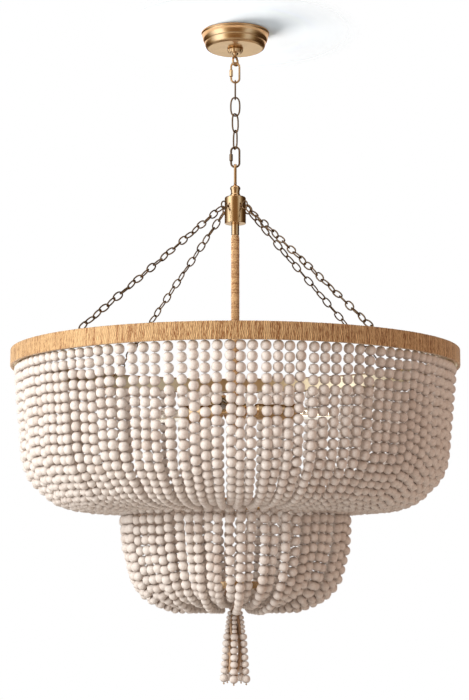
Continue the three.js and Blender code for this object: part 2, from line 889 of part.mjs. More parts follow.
addPiece("gathering_ring", gatherRing(), "antiqueBrass", { z: gatherRingBottom - rimDrop });

// Tassel. Its top knot rests in the hole in the bar of the gathering ring.

const gatherBarTop = gatherRingBottom + (gatherRingHeight + gatherBarThickness) / 2;

// One strand, which starts in the lower knot and spreads fastest near its top.
function tasselStrand(top, turnShare) {
  const length = tasselBeadPitch * tasselRunShares.reduce((sum, run) => sum + run.count * run.pitch, 0);
  const rings = [];
  const addRing = (fall, spread, radius) => {
    const centre = onCircle(spread, turnShare);
    rings.push(
      Array.from({ length: beadSides }, (_, j) => {
        const corner = onCircle(radius, turnShare + j / beadSides).add(centre);
        return new THREE.Vector3(corner.x, corner.y, top - fall);
      }),
    );
  };
  addRing(0, tasselThreadRadius, tasselThreadRadius);
  let fall = tasselFanLength;
  const spreadAt = (at) =>
    lerp(tasselTopSpread, tasselBottomSpread, Math.sqrt((at - tasselFanLength) / length));
  for (const run of tasselRunShares) {
    const pitch = tasselBeadPitch * run.pitch;
    for (let i = 0; i < run.count; i += 1) {
      addRing(fall, spreadAt(fall), tasselThreadRadius);
      addRing(fall + pitch / 2, spreadAt(fall + pitch / 2), tasselBeadRadius * run.size);
      fall += pitch;
    }
  }
  addRing(fall, tasselBottomSpread, tasselThreadRadius);
  addRing(fall + tasselThreadEnd, tasselBottomSpread, tasselThreadRadius);
  return skinned(rings, false);
}

function tassel() {
  const knot = new THREE.SphereGeometry(tasselKnotRadius, eyeSteps, eyeSteps / 2).rotateX(quarter);
  const topKnot = gatherBarTop - seatGap + tasselKnotRadius;
  const lowKnot = gatherBarTop - tasselCordLength;
  const cord = bar(tasselCordRadius, lowKnot, topKnot, eyeSteps);
  const strands = Array.from({ length: tasselStrands }, (_, i) =>
    tasselStrand(lowKnot, tasselTurnShare + i / tasselStrands),
  );
  return joined([cord, placed(knot, 0, 0, topKnot), placed(knot, 0, 0, lowKnot), ...strands]);
}

addPiece("tassel", tassel(), "bead", { z: -rimDrop });

// Lamp cluster. Sockets and bulbs are turned about the X axis and set round the body by their group.

// The body is faceted, and a flat of it faces each socket.
function lampBody() {
  const outline = outlineOf(lampBodyOutlineShares, lampBodyRadius, lampBodyBottom, lampBodyHeight);
  return turned([[stemHole, lampBodyBottom], ...outline, [stemHole, lampBodyTop]], lampBodySides);
}

const socketStart = lampBodyRadius * Math.cos(Math.PI / lampBodySides) + seatGap;
const socketMouth = socketStart + socketLength;
const socketFloor = socketMouth - socketBoreDepth;
const socketBore = socketRadius - socketWall;
const bulbStart = socketFloor + seatGap;

function lampSocket() {
  const cup = socketStart + socketStubLength;
  return turned(
    [
      [0, socketStart],
      [socketStubRadius, socketStart],
      [socketStubRadius, cup],
      [socketRadius, cup + socketShoulder],
      [socketRadius, socketMouth - socketRimLength],
      [socketRimRadius, socketMouth - socketRimLength],
      [socketRimRadius, socketMouth],
      [socketBore, socketMouth],
      [socketBore, socketFloor],
      [0, socketFloor],
    ],
    smallSides,
  ).rotateY(quarter);
}

function bulb() {
  const base = socketBore - seatGap;
  const neck = socketMouth + bulbNeckLength;
  const foot = [[0, bulbStart], [base, bulbStart], [base, socketMouth], [bulbRadius, neck]];
  const end = outlineOf(bulbEndShares, bulbRadius, bulbStart + bulbLength - bulbEndLength, bulbEndLength);
  return turned([...foot, ...end], smallSides).rotateY(quarter);
}

function finial() {
  const top = lampBodyBottom - seatGap;
  const plug = stemBoreRadius - seatGap;
  const plugTop = lampBodyBottom + finialPlugLength;
  const outline = outlineOf(finialOutlineShares, finialRadius, top, -finialHeight);
  return turned([[0, plugTop], [plug, plugTop], [plug, top], ...outline], smallSides);
}

addPiece("lamp_body", lampBody(), "antiqueBrass", { turn: socketAngles[0] - 180 / lampBodySides });
addPiece("stem_finial", finial(), "antiqueBrass");
socketAngles.forEach((angle, i) => {
  const arm = new THREE.Group();
  arm.position.z = lampMiddle;
  arm.rotation.z = degToRad(angle);
  chandelier.add(arm);
  addPiece(`lamp_socket_${i + 1}`, lampSocket(), "antiqueBrass", { group: arm });
  addPiece(`bulb_${i + 1}`, bulb(), "glass", { group: arm });
});

export default chandelier;
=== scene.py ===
"""The look of a two-tier beaded chandelier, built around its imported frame.

Metres, +Z up. The origin is on the ceiling, on the chandelier's axis. Heights of the rim and of the two
tiers are worked out from the frame's own boxes.
"""
import math

import bpy
import numpy as np
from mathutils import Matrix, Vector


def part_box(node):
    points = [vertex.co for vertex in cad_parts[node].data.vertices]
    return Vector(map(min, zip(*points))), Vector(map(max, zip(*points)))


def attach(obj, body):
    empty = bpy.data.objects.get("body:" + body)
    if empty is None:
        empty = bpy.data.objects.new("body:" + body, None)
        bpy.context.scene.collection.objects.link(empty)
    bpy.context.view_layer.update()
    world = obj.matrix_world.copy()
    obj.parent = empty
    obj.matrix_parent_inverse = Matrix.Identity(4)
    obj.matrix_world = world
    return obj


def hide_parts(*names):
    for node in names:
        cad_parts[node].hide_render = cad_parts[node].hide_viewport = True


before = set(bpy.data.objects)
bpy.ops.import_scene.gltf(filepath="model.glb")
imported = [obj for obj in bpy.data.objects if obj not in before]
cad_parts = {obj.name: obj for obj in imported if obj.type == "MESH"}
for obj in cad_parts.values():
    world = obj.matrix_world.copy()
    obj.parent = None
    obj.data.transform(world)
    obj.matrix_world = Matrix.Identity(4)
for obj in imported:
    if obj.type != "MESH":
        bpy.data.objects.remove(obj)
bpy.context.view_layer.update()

bl_info = {
    "name": "Beaded chandelier",
    "version": (1, 0, 0),
    "blender": (4, 5, 0),
    "location": "View3D > Sidebar > Chandelier",
    "description": "Builds beads, fibre wraps, chains and brass of a two-tier chandelier around its frame",
    "category": "Add Mesh",
}

MM = 0.001
FULL = 2 * math.pi
QUARTER = math.pi / 2


def low(node, axis):
    """Lowest place of a frame node along an axis, 0 to 2."""
    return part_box(node)[0][axis]


def high(node, axis):
    """Highest place of a frame node along an axis, 0 to 2."""
    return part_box(node)[1][axis]


def middle(node, axis):
    """Middle of a frame node along an axis, 0 to 2."""
    return (low(node, axis) + high(node, axis)) / 2


# Places from the frame
RIM_TOP = high("rim_wrap", 2)
RIM_RADIUS = high("rim_wrap", 0)
RIM_HEIGHT = RIM_TOP - low("rim_wrap", 2)
LOWER_RING_Z = middle("lower_ring", 2)
LOWER_RING_RADIUS = high("lower_ring", 0) - (high("lower_ring", 2) - LOWER_RING_Z)
GATHER_RADIUS = high("gathering_ring", 0)
GATHER_LOW = low("gathering_ring", 2)
GATHER_HIGH = high("gathering_ring", 2)

# Strands: places along one strand, as shares of the way out and of the way down
RIM_BEAD_REACH = 441.9 * MM
UPPER_TIER_DROP = 318 * MM
UPPER_CURVE_SHARES = (
    (0.993, 0.1015), (0.965, 0.299), (0.931, 0.492), (0.902, 0.686), (0.837, 0.807),
    (0.743, 0.872), (0.655, 0.930), (0.562, 0.965), (0.372, 0.997), (0.032, 1.009),
)
LOWER_BEAD_REACH = 228 * MM
LOWER_CURVE_SHARES = (
    (0.998, 0.0), (0.973, 0.256), (0.946, 0.431), (0.917, 0.517), (0.863, 0.703),
    (0.786, 0.819), (0.678, 0.904), (0.527, 0.967), (0.420, 0.992), (0.085, 1.0),
)
LOWER_TIER_TOP = LOWER_RING_Z - 5.5 * MM
LOWER_TIER_BOTTOM = RIM_TOP - 519 * MM
RING_WIRE = 3.6 * MM
STRING_OFF_RING = 3.9 * MM
STRING_RADIUS = 0.7 * MM

# Beads: shape, and how far they and their strands stray
BEAD_SIDES = 10
BEAD_HOLE_ANGLES = (12, 36, 63, 90, 117, 144, 168)
# Painted contact shade round each bead's holes, where the beads of a strand touch: where it starts, over what
# span it deepens, and how dark it gets
CONTACT_SHADE_FROM = 0.62
CONTACT_SHADE_OVER = 0.36
CONTACT_SHADE_DARKNESS = 0.7
BEAD_WIDTH_SHARE = 1.065
BEAD_LENGTH_SHARE = 1.025
BEAD_WIDTH_SPREAD = 0.012
BEAD_LENGTH_SPREAD = 0.008
BEAD_WOBBLE = 0.3 * MM
BEAD_ANGLE_WOBBLE = 0.012
TAPER_FROM = 0.45
CROWDED_FROM = 0.85
CROWDED_OVER = 0.4
LAYER_SHARE = 0.8
STRAND_SLIP = 3.2 * MM
STRAND_SLACK = 0.13
STRAND_SEEDS = {"upper": 100, "lower": 200}

# Canopy outline from the lip to the plate, as shares of its radius and height
CANOPY_OUTLINE_SHARES = (
    (1.0, 0.0), (1.0, 0.07), (0.982, 0.1), (0.972, 0.14), (0.966, 0.28), (0.952, 0.42),
    (0.925, 0.54), (0.9, 0.6), (0.892, 0.7), (0.874, 0.83), (0.845, 0.93), (0.79, 1.0),
)
CANOPY_WALL = 1.3 * MM
CANOPY_HOLE = 11.5 * MM
BRACKET_NODES = (
    "crossbar", "crossbar_screw_left", "crossbar_screw_right", "threaded_nipple", "nipple_locknut",
)
LOOP_TURN = math.radians(58)
LOOP_WIRE = 2.5 * MM
LOOP_REACH = 9 * MM
COLLAR_RADIUS = 16.5 * MM
COLLAR_HOLE = 11.4 * MM
COLLAR_NOTCHES = 12
COLLAR_NOTCH_DEPTH = 0.07

# Main chain
OVAL_LINK_WIRE = 1.7 * MM
OVAL_LINK_HALF_WIDTH = 11 * MM
OVAL_LINK_POWER = 2.6
OVAL_LINK_TURNS = (90, 0, 50, -67)
QUICK_LINK_WIRE = 2.1 * MM
QUICK_LINK_HALF_WIDTH = 10.75 * MM
SLEEVE_RADIUS = 4.3 * MM

# Hub and stem
FIXTURE_LOOP_THIN = 2 * MM
FIXTURE_LOOP_DEEP = 3 * MM
FIXTURE_LOOP_HALF_WIDTH = 12 * MM
PIN_RADIUS = 5 * MM
SPOOL_RADIUS = 10.8 * MM
SPOOL_SHARES = (
    (0.93, 0.0), (1.0, 0.07), (0.99, 0.17), (0.86, 0.3), (0.83, 0.45), (0.87, 0.62), (0.99, 0.76),
    (0.97, 0.87), (0.8, 1.0),
)
HUB_HOLE = 5.4 * MM
EYE_SHANK = 3.3 * MM
STEM_RADIUS = 6.1 * MM
STEM_WRAP_PITCH = 1.9 * MM
STEM_WRAP_INSIDE = 6.5 * MM

# Fine chain between the hub and the rim
CHAIN_WIRE = 1.5 * MM
CHAIN_LINK_LENGTH = 27.5 * MM
CHAIN_LINK_WIDTH = 15.5 * MM
CHAIN_LINK_PITCH = 22.3 * MM
CHAIN_LINK_TURN = math.radians(108)
CHAIN_ANGLES = (40, 128, 227, 306)
RIM_EYE_RADIUS = 5.5 * MM
RIM_EYE_DROP = 11 * MM
HUB_EYE_RADIUS = 8.2 * MM

# Rim: the hoop's metal, and the wrapping's slow waves as (waves round the rim, turn of phase down it)
HOOP_METAL = 2.4 * MM
RIM_WRAP_TURNS = 900
RIM_WRAP_WAVES = ((23, 2.0), (61, -4.0), (97, 6.0), (139, -8.0), (191, 10.0), (233, -12.0))
RIM_WRAP_WAVER = 0.15
WRAP_THICKNESS = 2.3 * MM
WRAP_TOP_WIDTH = 7.6 * MM
WRAP_BOTTOM_WIDTH = 5.8 * MM
WRAP_LIP = 1.9 * MM

# Tassel: runs of beads as (count, radius, pitch), and the angles of its strands and of its inner cords, thick
# brown cords that are partly painted shade between the strands
TASSEL_RUNS = ((5, 4.7 * MM, 8.9 * MM), (6, 7.2 * MM, 13.6 * MM), (1, 8.2 * MM, 16.4 * MM))
TASSEL_LENGTH = sum(count * pitch for count, _, pitch in TASSEL_RUNS)
TASSEL_ANGLES = (263, 208, 331, 62, 96, 128)
TASSEL_CORD_AND_SHADE_ANGLES = (20, 80, 150, 205, 238, 300)
TASSEL_KNOT = (GATHER_LOW + GATHER_HIGH) / 2 + 5 * MM
TASSEL_CORD_LENGTH = 46.8 * MM
TASSEL_TAIL = 2.6 * MM
TASSEL_FAN = 10 * MM
TASSEL_TOP_SPREAD = 9.5 * MM
TASSEL_BOTTOM_SPREAD = 25.5 * MM
KNOT_SHARES = ((0, -1.0), (0.55, -0.84), (0.9, -0.4), (1.0, 0.1), (0.82, 0.58), (0.45, 0.9), (0, 1.0))
GATHER_BAR = 1.2 * MM
GATHER_BAR_HALF_WIDTH = 4.5 * MM

# Lamp cluster: outlines as shares of radius and height
SOCKET_ANGLES = (20, 140, 260)
LAMP_BODY_SHARES = ((0.5, 0), (0.85, 0.1), (1, 0.28), (1, 0.72), (0.85, 0.9), (0.5, 1))
FINIAL_SHARES = ((0.9, 0), (0.9, 0.2), (0.5, 0.32), (1, 0.62), (0.65, 0.92), (0, 1))
SOCKET_START = 23.48 * MM
SOCKET_LENGTH = 110 * MM
SOCKET_DEPTH = 30 * MM
BULB_LENGTH = 117.5 * MM

# Camera, fitted to the photograph's perspective
CAMERA_DISTANCE = 3.3297
CAMERA_HEIGHT = -1.114
CAMERA_PITCH = math.radians(7.56)
CAMERA_SIDE = -1.6 * MM
CAMERA_LENS = 84.23

# Lamps: place, size and colour of the broad ones, then the small one that throws the canopy's shadow
AMBIENT_TINT = (1.0, 0.80, 0.68)
LAMP_AIM = (0, 0, -0.85)
BROAD_LAMPS = {
    "key": ((-2.3, -1.7, -0.35), (1.8, 2.2), (1, 0.985, 0.96)),
    "fill": ((2.4, -1.6, -0.7), (1.4, 1.8), (1, 0.74, 0.60)),
    "back": ((1.0, 2.8, -0.6), (1.8, 1.8), (1, 0.9, 0.82)),
}
RAKE_PLACE = (-0.84, 0.66, -0.4)
RAKE_AIM = (0.05, -0.05, 0)
RAKE_BEAM = math.radians(50)
RAKE_BLEND = 0.3
RAKE_SIZE = 0.46

# Ceiling and floor: levels of white that the camera sees, and where the ceiling's patch fades out
CEILING_SEEN = 0.79
CEILING_RADIUS = 0.5
CEILING_FADE = (0.15, 0.27)
FLOOR_LEVEL = -2.45
FLOOR_RADIUS = 3.2
BLACK = (0, 0, 0)
WHITE = (1, 1, 1)

# What metal reflects, round the compass from in front by the left: share of the circle, level and tint
STUDIO_TINTS = {"white": (0.97, 1.0, 1.08), "gold": (1.0, 0.84, 0.60), "brown": (1.0, 0.60, 0.30)}
STUDIO_FLOOR = (0.77, 0.74, 0.69)
STUDIO_FLOOR_SHARES = (0.43, 0.46, 0.54, 0.57)
STUDIO_LEVELS = (
    (0.0, 0.23, "brown"), (0.06, 0.27, "brown"), (0.10, 0.70, "gold"), (0.135, 1.75, "white"),
    (0.20, 1.85, "white"), (0.245, 1.0, "white"), (0.29, 0.36, "gold"), (0.335, 0.13, "brown"),
    (0.40, 0.08, "brown"), (0.47, 0.16, "brown"), (0.53, 0.16, "brown"), (0.60, 0.06, "brown"),
    (0.70, 0.05, "brown"), (0.765, 0.10, "brown"), (0.81, 0.30, "gold"), (0.85, 0.68, "white"),
    (0.885, 0.72, "white"), (0.91, 0.40, "gold"), (0.945, 0.23, "brown"), (1.0, 0.23, "brown"),
)


class BeadSettings(bpy.types.PropertyGroup):
    """Sizes and colours of the wooden beads."""

    upper_strands: bpy.props.IntProperty(
        name="Upper strands", description="Strands that hang from the rim", default=120, min=24
    )
    lower_strands: bpy.props.IntProperty(
        name="Lower strands", description="Strands that hang from the lower ring", default=64, min=16
    )
    upper_length: bpy.props.FloatProperty(
        name="Upper bead", description="Length of the largest upper beads", default=18.8 * MM, unit="LENGTH"
    )
    lower_length: bpy.props.FloatProperty(
        name="Lower bead", description="Length of the largest lower beads", default=18.2 * MM, unit="LENGTH"
    )
    pale: bpy.props.FloatVectorProperty(
        name="Pale wood", description="Whitewashed wood", subtype="COLOR", default=(0.90, 0.86, 0.82)
    )
    dark: bpy.props.FloatVectorProperty(
        name="Dark wood", description="Wood where the whitewash is thin", subtype="COLOR",
        default=(0.52, 0.38, 0.30),
    )


class MetalSettings(bpy.types.PropertyGroup):
    """Colours of the metal pieces."""

    satin: bpy.props.FloatVectorProperty(
        name="Satin brass", description="Canopy, hub and stem", subtype="COLOR", default=(0.80, 0.56, 0.31)
    )
    aged: bpy.props.FloatVectorProperty(
        name="Aged brass", description="Chains and eyes", subtype="COLOR", default=(0.27, 0.18, 0.105)
    )


class FibreSettings(bpy.types.PropertyGroup):
    """Colours of the fibre wrapping."""

    straw: bpy.props.FloatVectorProperty(
        name="Straw", description="Light fibre", subtype="COLOR", default=(0.90, 0.61, 0.31)
    )
    saddle: bpy.props.FloatVectorProperty(
        name="Saddle", description="Dark fibre", subtype="COLOR", default=(0.34, 0.14, 0.045)
    )


class StageSettings(bpy.types.PropertyGroup):
    """Lamps and background."""

    key_power: bpy.props.FloatProperty(
        name="Key", description="Power of the lamp on the left", default=96.0, unit="POWER"
    )
    fill_power: bpy.props.FloatProperty(
        name="Fill", description="Power of the warm lamp on the right", default=18.0, unit="POWER"
    )
    back_power: bpy.props.FloatProperty(
        name="Back", description="Power of the lamp behind, which the other views need", default=50.0,
        unit="POWER",
    )
    rake_power: bpy.props.FloatProperty(
        name="Rake", description="Power of the small lamp that throws the canopy's shadow", default=165.0,
        unit="POWER",
    )
    ambient: bpy.props.FloatVectorProperty(
        name="Ambient", description="Light from all round", subtype="COLOR", default=(0.25, 0.195, 0.163)
    )


# Meshes from arrays

def facing_out(points, quads):
    """Quads turned so that the closed surface's volume, the sum of its cones from the origin, is positive."""
    a, b, c, d = (points[quads[:, i]] for i in range(4))
    volume = np.einsum("ij,ij->", a, np.cross(b, c)) + np.einsum("ij,ij->", a, np.cross(c, d))
    return quads if volume > 0 else quads[:, ::-1]


def grid(rows, closed_rows):
    """A surface through rows of points, each row a closed ring. Returns its points and quads."""
    count, sides = rows.shape[:2]
    spans = count if closed_rows else count - 1
    i = np.arange(spans)[:, None]
    j = np.arange(sides)[None, :]
    near = i * sides
    far = ((i + 1) % count) * sides
    quads = np.stack([near + j, near + (j + 1) % sides, far + (j + 1) % sides, far + j], axis=-1)
    points = rows.reshape(-1, 3)
    return points, facing_out(points, quads.reshape(-1, 4))


def joined(parts):
    """Several (points, quads) as one."""
    starts = np.cumsum([0] + [len(points) for points, _ in parts[:-1]])
    points = np.concatenate([points for points, _ in parts])
    quads = np.concatenate([quads + start for (_, quads), start in zip(parts, starts)])
    return points, quads


def copies(template, centres, bases, scales):
    """Copies of a (points, quads) template: each point is centre + basis times scaled point."""
    points, quads = template
    spread = points[None] * scales[:, None]
    placed = centres[:, None] + np.einsum("kij,kmj->kmi", bases, spread)
    moved = quads[None] + (np.arange(len(centres)) * len(points))[:, None, None]
    return placed.reshape(-1, 3), moved.reshape(-1, 4)


def face_lists(points, quads):
    """Corners of each face. Where a ring has shrunk to a pole, its corners are one, and a quad there is a
    triangle."""
    keys = np.round(points / (1e-3 * MM)).astype(np.int64)
    _, first, back = np.unique(keys, axis=0, return_index=True, return_inverse=True)
    quads = back.reshape(-1)[quads]
    start = quads[:, 0] == quads[:, 1]
    end = quads[:, 2] == quads[:, 3]
    whole = quads[~(start | end)]
    triangles = np.concatenate([quads[start & ~end][:, 1:], quads[end & ~start][:, :3]])
    return points[first], first, whole, triangles


def add_piece(name, surface, finish, node=None, body="fixture", marks=None, weld=True):
    """Makes the piece from (points, quads), hides the frame node it stands for, and attaches it to its body.
    """
    points, quads = surface
    triangles = np.zeros((0, 3), int)
    marks = marks or {}
    if weld:
        points, kept, quads, triangles = face_lists(points, quads)
        marks = {key: value[kept] for key, value in marks.items()}
    mesh = bpy.data.meshes.new(name)
    mesh.from_pydata(points, [], quads.tolist() + triangles.tolist())
    for key, value in marks.items():
        mesh.attributes.new(key, "FLOAT", "POINT").data.foreach_set("value", value.astype(np.float32))
    mesh.shade_smooth()
    mesh.materials.append(finish_of(finish))
    mesh.validate()
    piece = bpy.data.objects.new(name, mesh)
    bpy.context.scene.collection.objects.link(piece)
    if node:
        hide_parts(node)
    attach(piece, body)


# Shapes

def soft_corners(corners, radius, closed, steps=4):
    """An outline whose corners are rounded: at each, a parabola from one side to the other."""
    corners = np.asarray(corners, float)
    before = np.roll(corners, 1, axis=0)
    after = np.roll(corners, -1, axis=0)
    arrive = corners - before
    leave = after - corners
    arrive_length = np.linalg.norm(arrive, axis=1)
    leave_length = np.linalg.norm(leave, axis=1)
    reach = np.minimum(radius, 0.45 * np.minimum(arrive_length, leave_length))[:, None]
    start = corners - arrive / arrive_length[:, None] * reach
    end = corners + leave / leave_length[:, None] * reach
    t = np.linspace(0, 1, steps)[None, :, None]
    curve = (1 - t) ** 2 * start[:, None] + 2 * t * (1 - t) * corners[:, None] + t**2 * end[:, None]
    if closed:
        return curve.reshape(-1, 2)
    return np.concatenate([corners[:1], curve[1:-1].reshape(-1, 2), corners[-1:]])


def filled(outline, spacing):
    """A closed outline with points added evenly along its long sides."""
    sides = zip(outline, np.roll(outline, -1, axis=0))
    return np.concatenate([
        np.linspace(a, b, math.ceil(np.linalg.norm(b - a) / spacing), endpoint=False) for a, b in sides
    ])


def turned(profile, steps, closed=True, ripple=1):
    """A profile of (radius, height) turned about the Z axis: x = r cos a, y = r sin a."""
    profile = np.asarray(profile, float)
    a = np.arange(steps) * FULL / steps
    r = np.repeat(profile[:, :1], steps, axis=1) * ripple
    z = np.repeat(profile[:, 1:], steps, axis=1)
    return grid(np.stack([r * np.cos(a), r * np.sin(a), z], axis=-1), closed)


def lathed(corners, softness, steps, closed=True, arc=4):
    """Corners of (radius, height), rounded by the softness and turned about the Z axis."""
    return turned(soft_corners(corners, softness, closed, arc), steps, closed)


def powered(wave, power):
    """A sine or cosine bent towards a square: its sign times its size to the power 2 over p."""
    return np.sign(wave) * np.abs(wave) ** (2 / power)


def bent(path, wire, sides, closed, depth=None, normal=(0, 1, 0), power=2):
    """Wire along a flat path: each section is wire cos b across the path and depth sin b along its normal.
    An open wire ends in shallow cones."""
    path = np.asarray(path, float)
    wide = np.full(len(path), float(wire))
    deep = np.full(len(path), float(wire if depth is None else depth))
    if closed:
        along = np.roll(path, -1, axis=0) - np.roll(path, 1, axis=0)
    else:
        ends = np.stack([path[0] - path[1], path[-1] - path[-2]])
        ends = path[[0, -1]] + 0.35 * wire * ends / np.linalg.norm(ends, axis=1)[:, None]
        path = np.concatenate([ends[:1], path, ends[1:]])
        wide, deep = np.pad(wide, 1), np.pad(deep, 1)
        along = np.gradient(path, axis=0)
    along = along / np.linalg.norm(along, axis=1)[:, None]
    across = np.cross(along, normal)
    b = np.arange(sides) * FULL / sides
    rows = (
        path[:, None]
        + (wide[:, None] * powered(np.cos(b), power))[:, :, None] * across[:, None]
        + (deep[:, None] * powered(np.sin(b), power))[:, :, None] * np.asarray(normal, float)
    )
    return grid(rows, closed)


def oval(half_width, half_length, power, steps):
    """Closed oval in the XZ plane: |x|^p + |z|^p = 1 in shares of its half sizes."""
    a = np.arange(steps) * FULL / steps
    x = half_width * powered(np.sin(a), power)
    z = half_length * powered(np.cos(a), power)
    return np.stack([x, np.zeros(steps), z], axis=1)


def wire_ring(reach, wire, steps, sides):
    """A ring of round wire in the XZ plane."""
    return bent(oval(reach, reach, 2, steps), wire, sides, True)


def spun(surface, angle):
    """The surface turned about the Z axis."""
    points, quads = surface
    c, s = math.cos(angle), math.sin(angle)
    return points @ np.array([[c, s, 0], [-s, c, 0], [0, 0, 1]]), quads


def shifted(surface, x, y, z):
    """The surface moved."""
    points, quads = surface
    return points + np.array([x, y, z]), quads


def laid(surface):
    """The surface with its Z axis laid along X."""
    points, quads = surface
    return points[:, [2, 1, 0]] * np.array([1, -1, 1]), quads


def flowing(points, steps):
    """A smooth curve through points: a cubic between neighbours, with slopes from the ones beyond."""
    p = np.asarray(points, float)
    p = np.concatenate([[2 * p[0] - p[1]], p, [2 * p[-1] - p[-2]]])
    t = np.linspace(0, 1, steps, endpoint=False)[None, :, None]
    p0, p1, p2, p3 = (p[i : len(p) - 3 + i][:, None] for i in range(4))
    curve = 0.5 * (
        2 * p1 + (p2 - p0) * t + (2 * p0 - 5 * p1 + 4 * p2 - p3) * t**2 + (3 * p1 - p0 - 3 * p2 + p3) * t**3
    )
    return np.concatenate([curve.reshape(-1, 2), p[-2:-1]])


def nut(radius, hole, bottom, top, softness):
    """A six-sided nut: each side's distance is the apothem over the cosine from its middle."""
    steps = 48
    a = np.arange(steps) * FULL / steps
    apothem = radius * math.cos(math.pi / 6)
    hexagon = np.minimum(apothem / np.cos((a + math.pi / 6) % (math.pi / 3) - math.pi / 6), 0.97 * radius)
    edge = 0.93 * radius
    corners = ((hole, bottom), (edge, bottom), (radius, bottom + softness), (radius, top - softness),
               (edge, top), (hole, top))
    profile = soft_corners(corners, softness / 2, True, 3)
    share = np.clip((profile[:, :1] - hole) / (radius - hole), 0, 1)
    return turned(profile, steps, ripple=1 + share * (hexagon / radius - 1))


def bead_template():
    """A round bead with full shoulders: radius sin(t) ** 0.8 and height cos t, for t from hole to hole."""
    t = np.radians(BEAD_HOLE_ANGLES)
    a = np.arange(BEAD_SIDES) * FULL / BEAD_SIDES
    r = np.sin(t)[:, None] ** 0.8
    rows = np.stack([r * np.cos(a), r * np.sin(a), np.repeat(np.cos(t)[:, None], BEAD_SIDES, 1)], axis=-1)
    points, quads = grid(rows, False)
    fan = np.array([[0, k, k + 1, k + 2] for k in range(1, BEAD_SIDES - 2, 2)])
    return points, np.concatenate([quads, fan, fan[:, ::-1] + len(points) - BEAD_SIDES])


# Materials

def new_material(name):
    """A node material, its node tree and its surface shader."""
    material = bpy.data.materials.new(name)
    material.use_nodes = True
    return material, material.node_tree, material.node_tree.nodes["Principled BSDF"]


def plug(tree, value, socket):
    """Links a socket to another, or gives it a plain number or colour."""
    if isinstance(value, bpy.types.NodeSocket):
        tree.links.new(value, socket)
    elif isinstance(value, tuple):
        socket.default_value = (*value[:3], 1)
    else:
        socket.default_value = value


def grey(level):
    """A colour without tint."""
    return (level, level, level)


def noise(tree, scale, detail, stretch=(1, 1, 1)):
    """A noise texture on Object coordinates, stretched by a Mapping node."""
    mapping = tree.nodes.new("ShaderNodeMapping")
    mapping.inputs["Scale"].default_value = stretch
    place = tree.nodes.new("ShaderNodeTexCoord")
    tree.links.new(place.outputs["Object"], mapping.inputs["Vector"])
    texture = tree.nodes.new("ShaderNodeTexNoise")
    texture.inputs["Scale"].default_value = scale
    texture.inputs["Detail"].default_value = detail
    tree.links.new(mapping.outputs["Vector"], texture.inputs["Vector"])
    return texture.outputs["Fac"]


def ramp(tree, value, stops):
    """A colour ramp with (place, colour) stops."""
    node = tree.nodes.new("ShaderNodeValToRGB")
    while len(node.color_ramp.elements) < len(stops):
        node.color_ramp.elements.new(0.5)
    for element, (place, colour) in zip(node.color_ramp.elements, stops):
        element.position = place
        element.color = (*colour[:3], 1)
    tree.links.new(value, node.inputs["Fac"])
    return node.outputs["Color"]


def mixed(tree, factor, first, second, blend="MIX"):
    """A colour mix of two sockets or colours."""
    node = tree.nodes.new("ShaderNodeMix")
    node.data_type = "RGBA"
    node.blend_type = blend
    for index, value in ((0, factor), (6, first), (7, second)):
        plug(tree, value, node.inputs[index])
    return node.outputs[2]


def math_node(tree, operation, first, second):
    """A Math node on two sockets or numbers."""
    node = tree.nodes.new("ShaderNodeMath")
    node.operation = operation
    plug(tree, first, node.inputs[0])
    plug(tree, second, node.inputs[1])
    return node.outputs[0]


def weighted(tree, first, first_share, second, second_share):
    """The sum of two values, each times its share."""
    return math_node(tree, "ADD", math_node(tree, "MULTIPLY", first, first_share),
                     math_node(tree, "MULTIPLY", second, second_share))


def blended(first, second, share):
    """A plain colour, the share of the way from the first to the second."""
    return tuple(share * b + (1 - share) * a for a, b in zip(first, second))


def bump(tree, shader, height, strength, distance):
    """Fine relief from a height socket."""
    node = tree.nodes.new("ShaderNodeBump")
    node.inputs["Strength"].default_value = strength
    node.inputs["Distance"].default_value = distance
    tree.links.new(height, node.inputs["Height"])
    tree.links.new(node.outputs["Normal"], shader.inputs["Normal"])


def attribute(tree, name):
    """A vertex attribute's value."""
    node = tree.nodes.new("ShaderNodeAttribute")
    node.attribute_name = name
    return node.outputs["Fac"]


def brass_material(name, colour, roughness, contrast):
    """Brass with a slow drift of tone, fine brushing in its bump and slightly uneven gloss."""
    material, tree, shader = new_material(name)
    shader.inputs["Metallic"].default_value = 1
    cloud = noise(tree, 28, 2)
    dark = tuple(c * (1 - contrast) for c in colour)
    light = tuple(min(c * (1 + contrast), 1) for c in colour)
    plug(tree, ramp(tree, cloud, ((0.3, dark), (0.7, light))), shader.inputs["Base Color"])
    gloss = ramp(tree, cloud, ((0.3, grey(roughness * 1.1)), (0.7, grey(roughness * 0.92))))
    plug(tree, gloss, shader.inputs["Roughness"])
    bump(tree, shader, noise(tree, 1600, 2, (1, 1, 0.15)), 0.05, 0.1 * MM)
    return material


def steel_material():
    """Zinc-plated steel for the bracket above the canopy."""
    material, tree, shader = new_material("zinc_plated_steel")
    shader.inputs["Metallic"].default_value = 1
    cloud = noise(tree, 140, 4)
    spangle = ramp(tree, cloud, ((0.3, (0.5, 0.5, 0.52)), (0.7, (0.68, 0.68, 0.69))))
    plug(tree, spangle, shader.inputs["Base Color"])
    plug(tree, ramp(tree, cloud, ((0.2, grey(0.3)), (0.8, grey(0.45)))), shader.inputs["Roughness"])
    return material


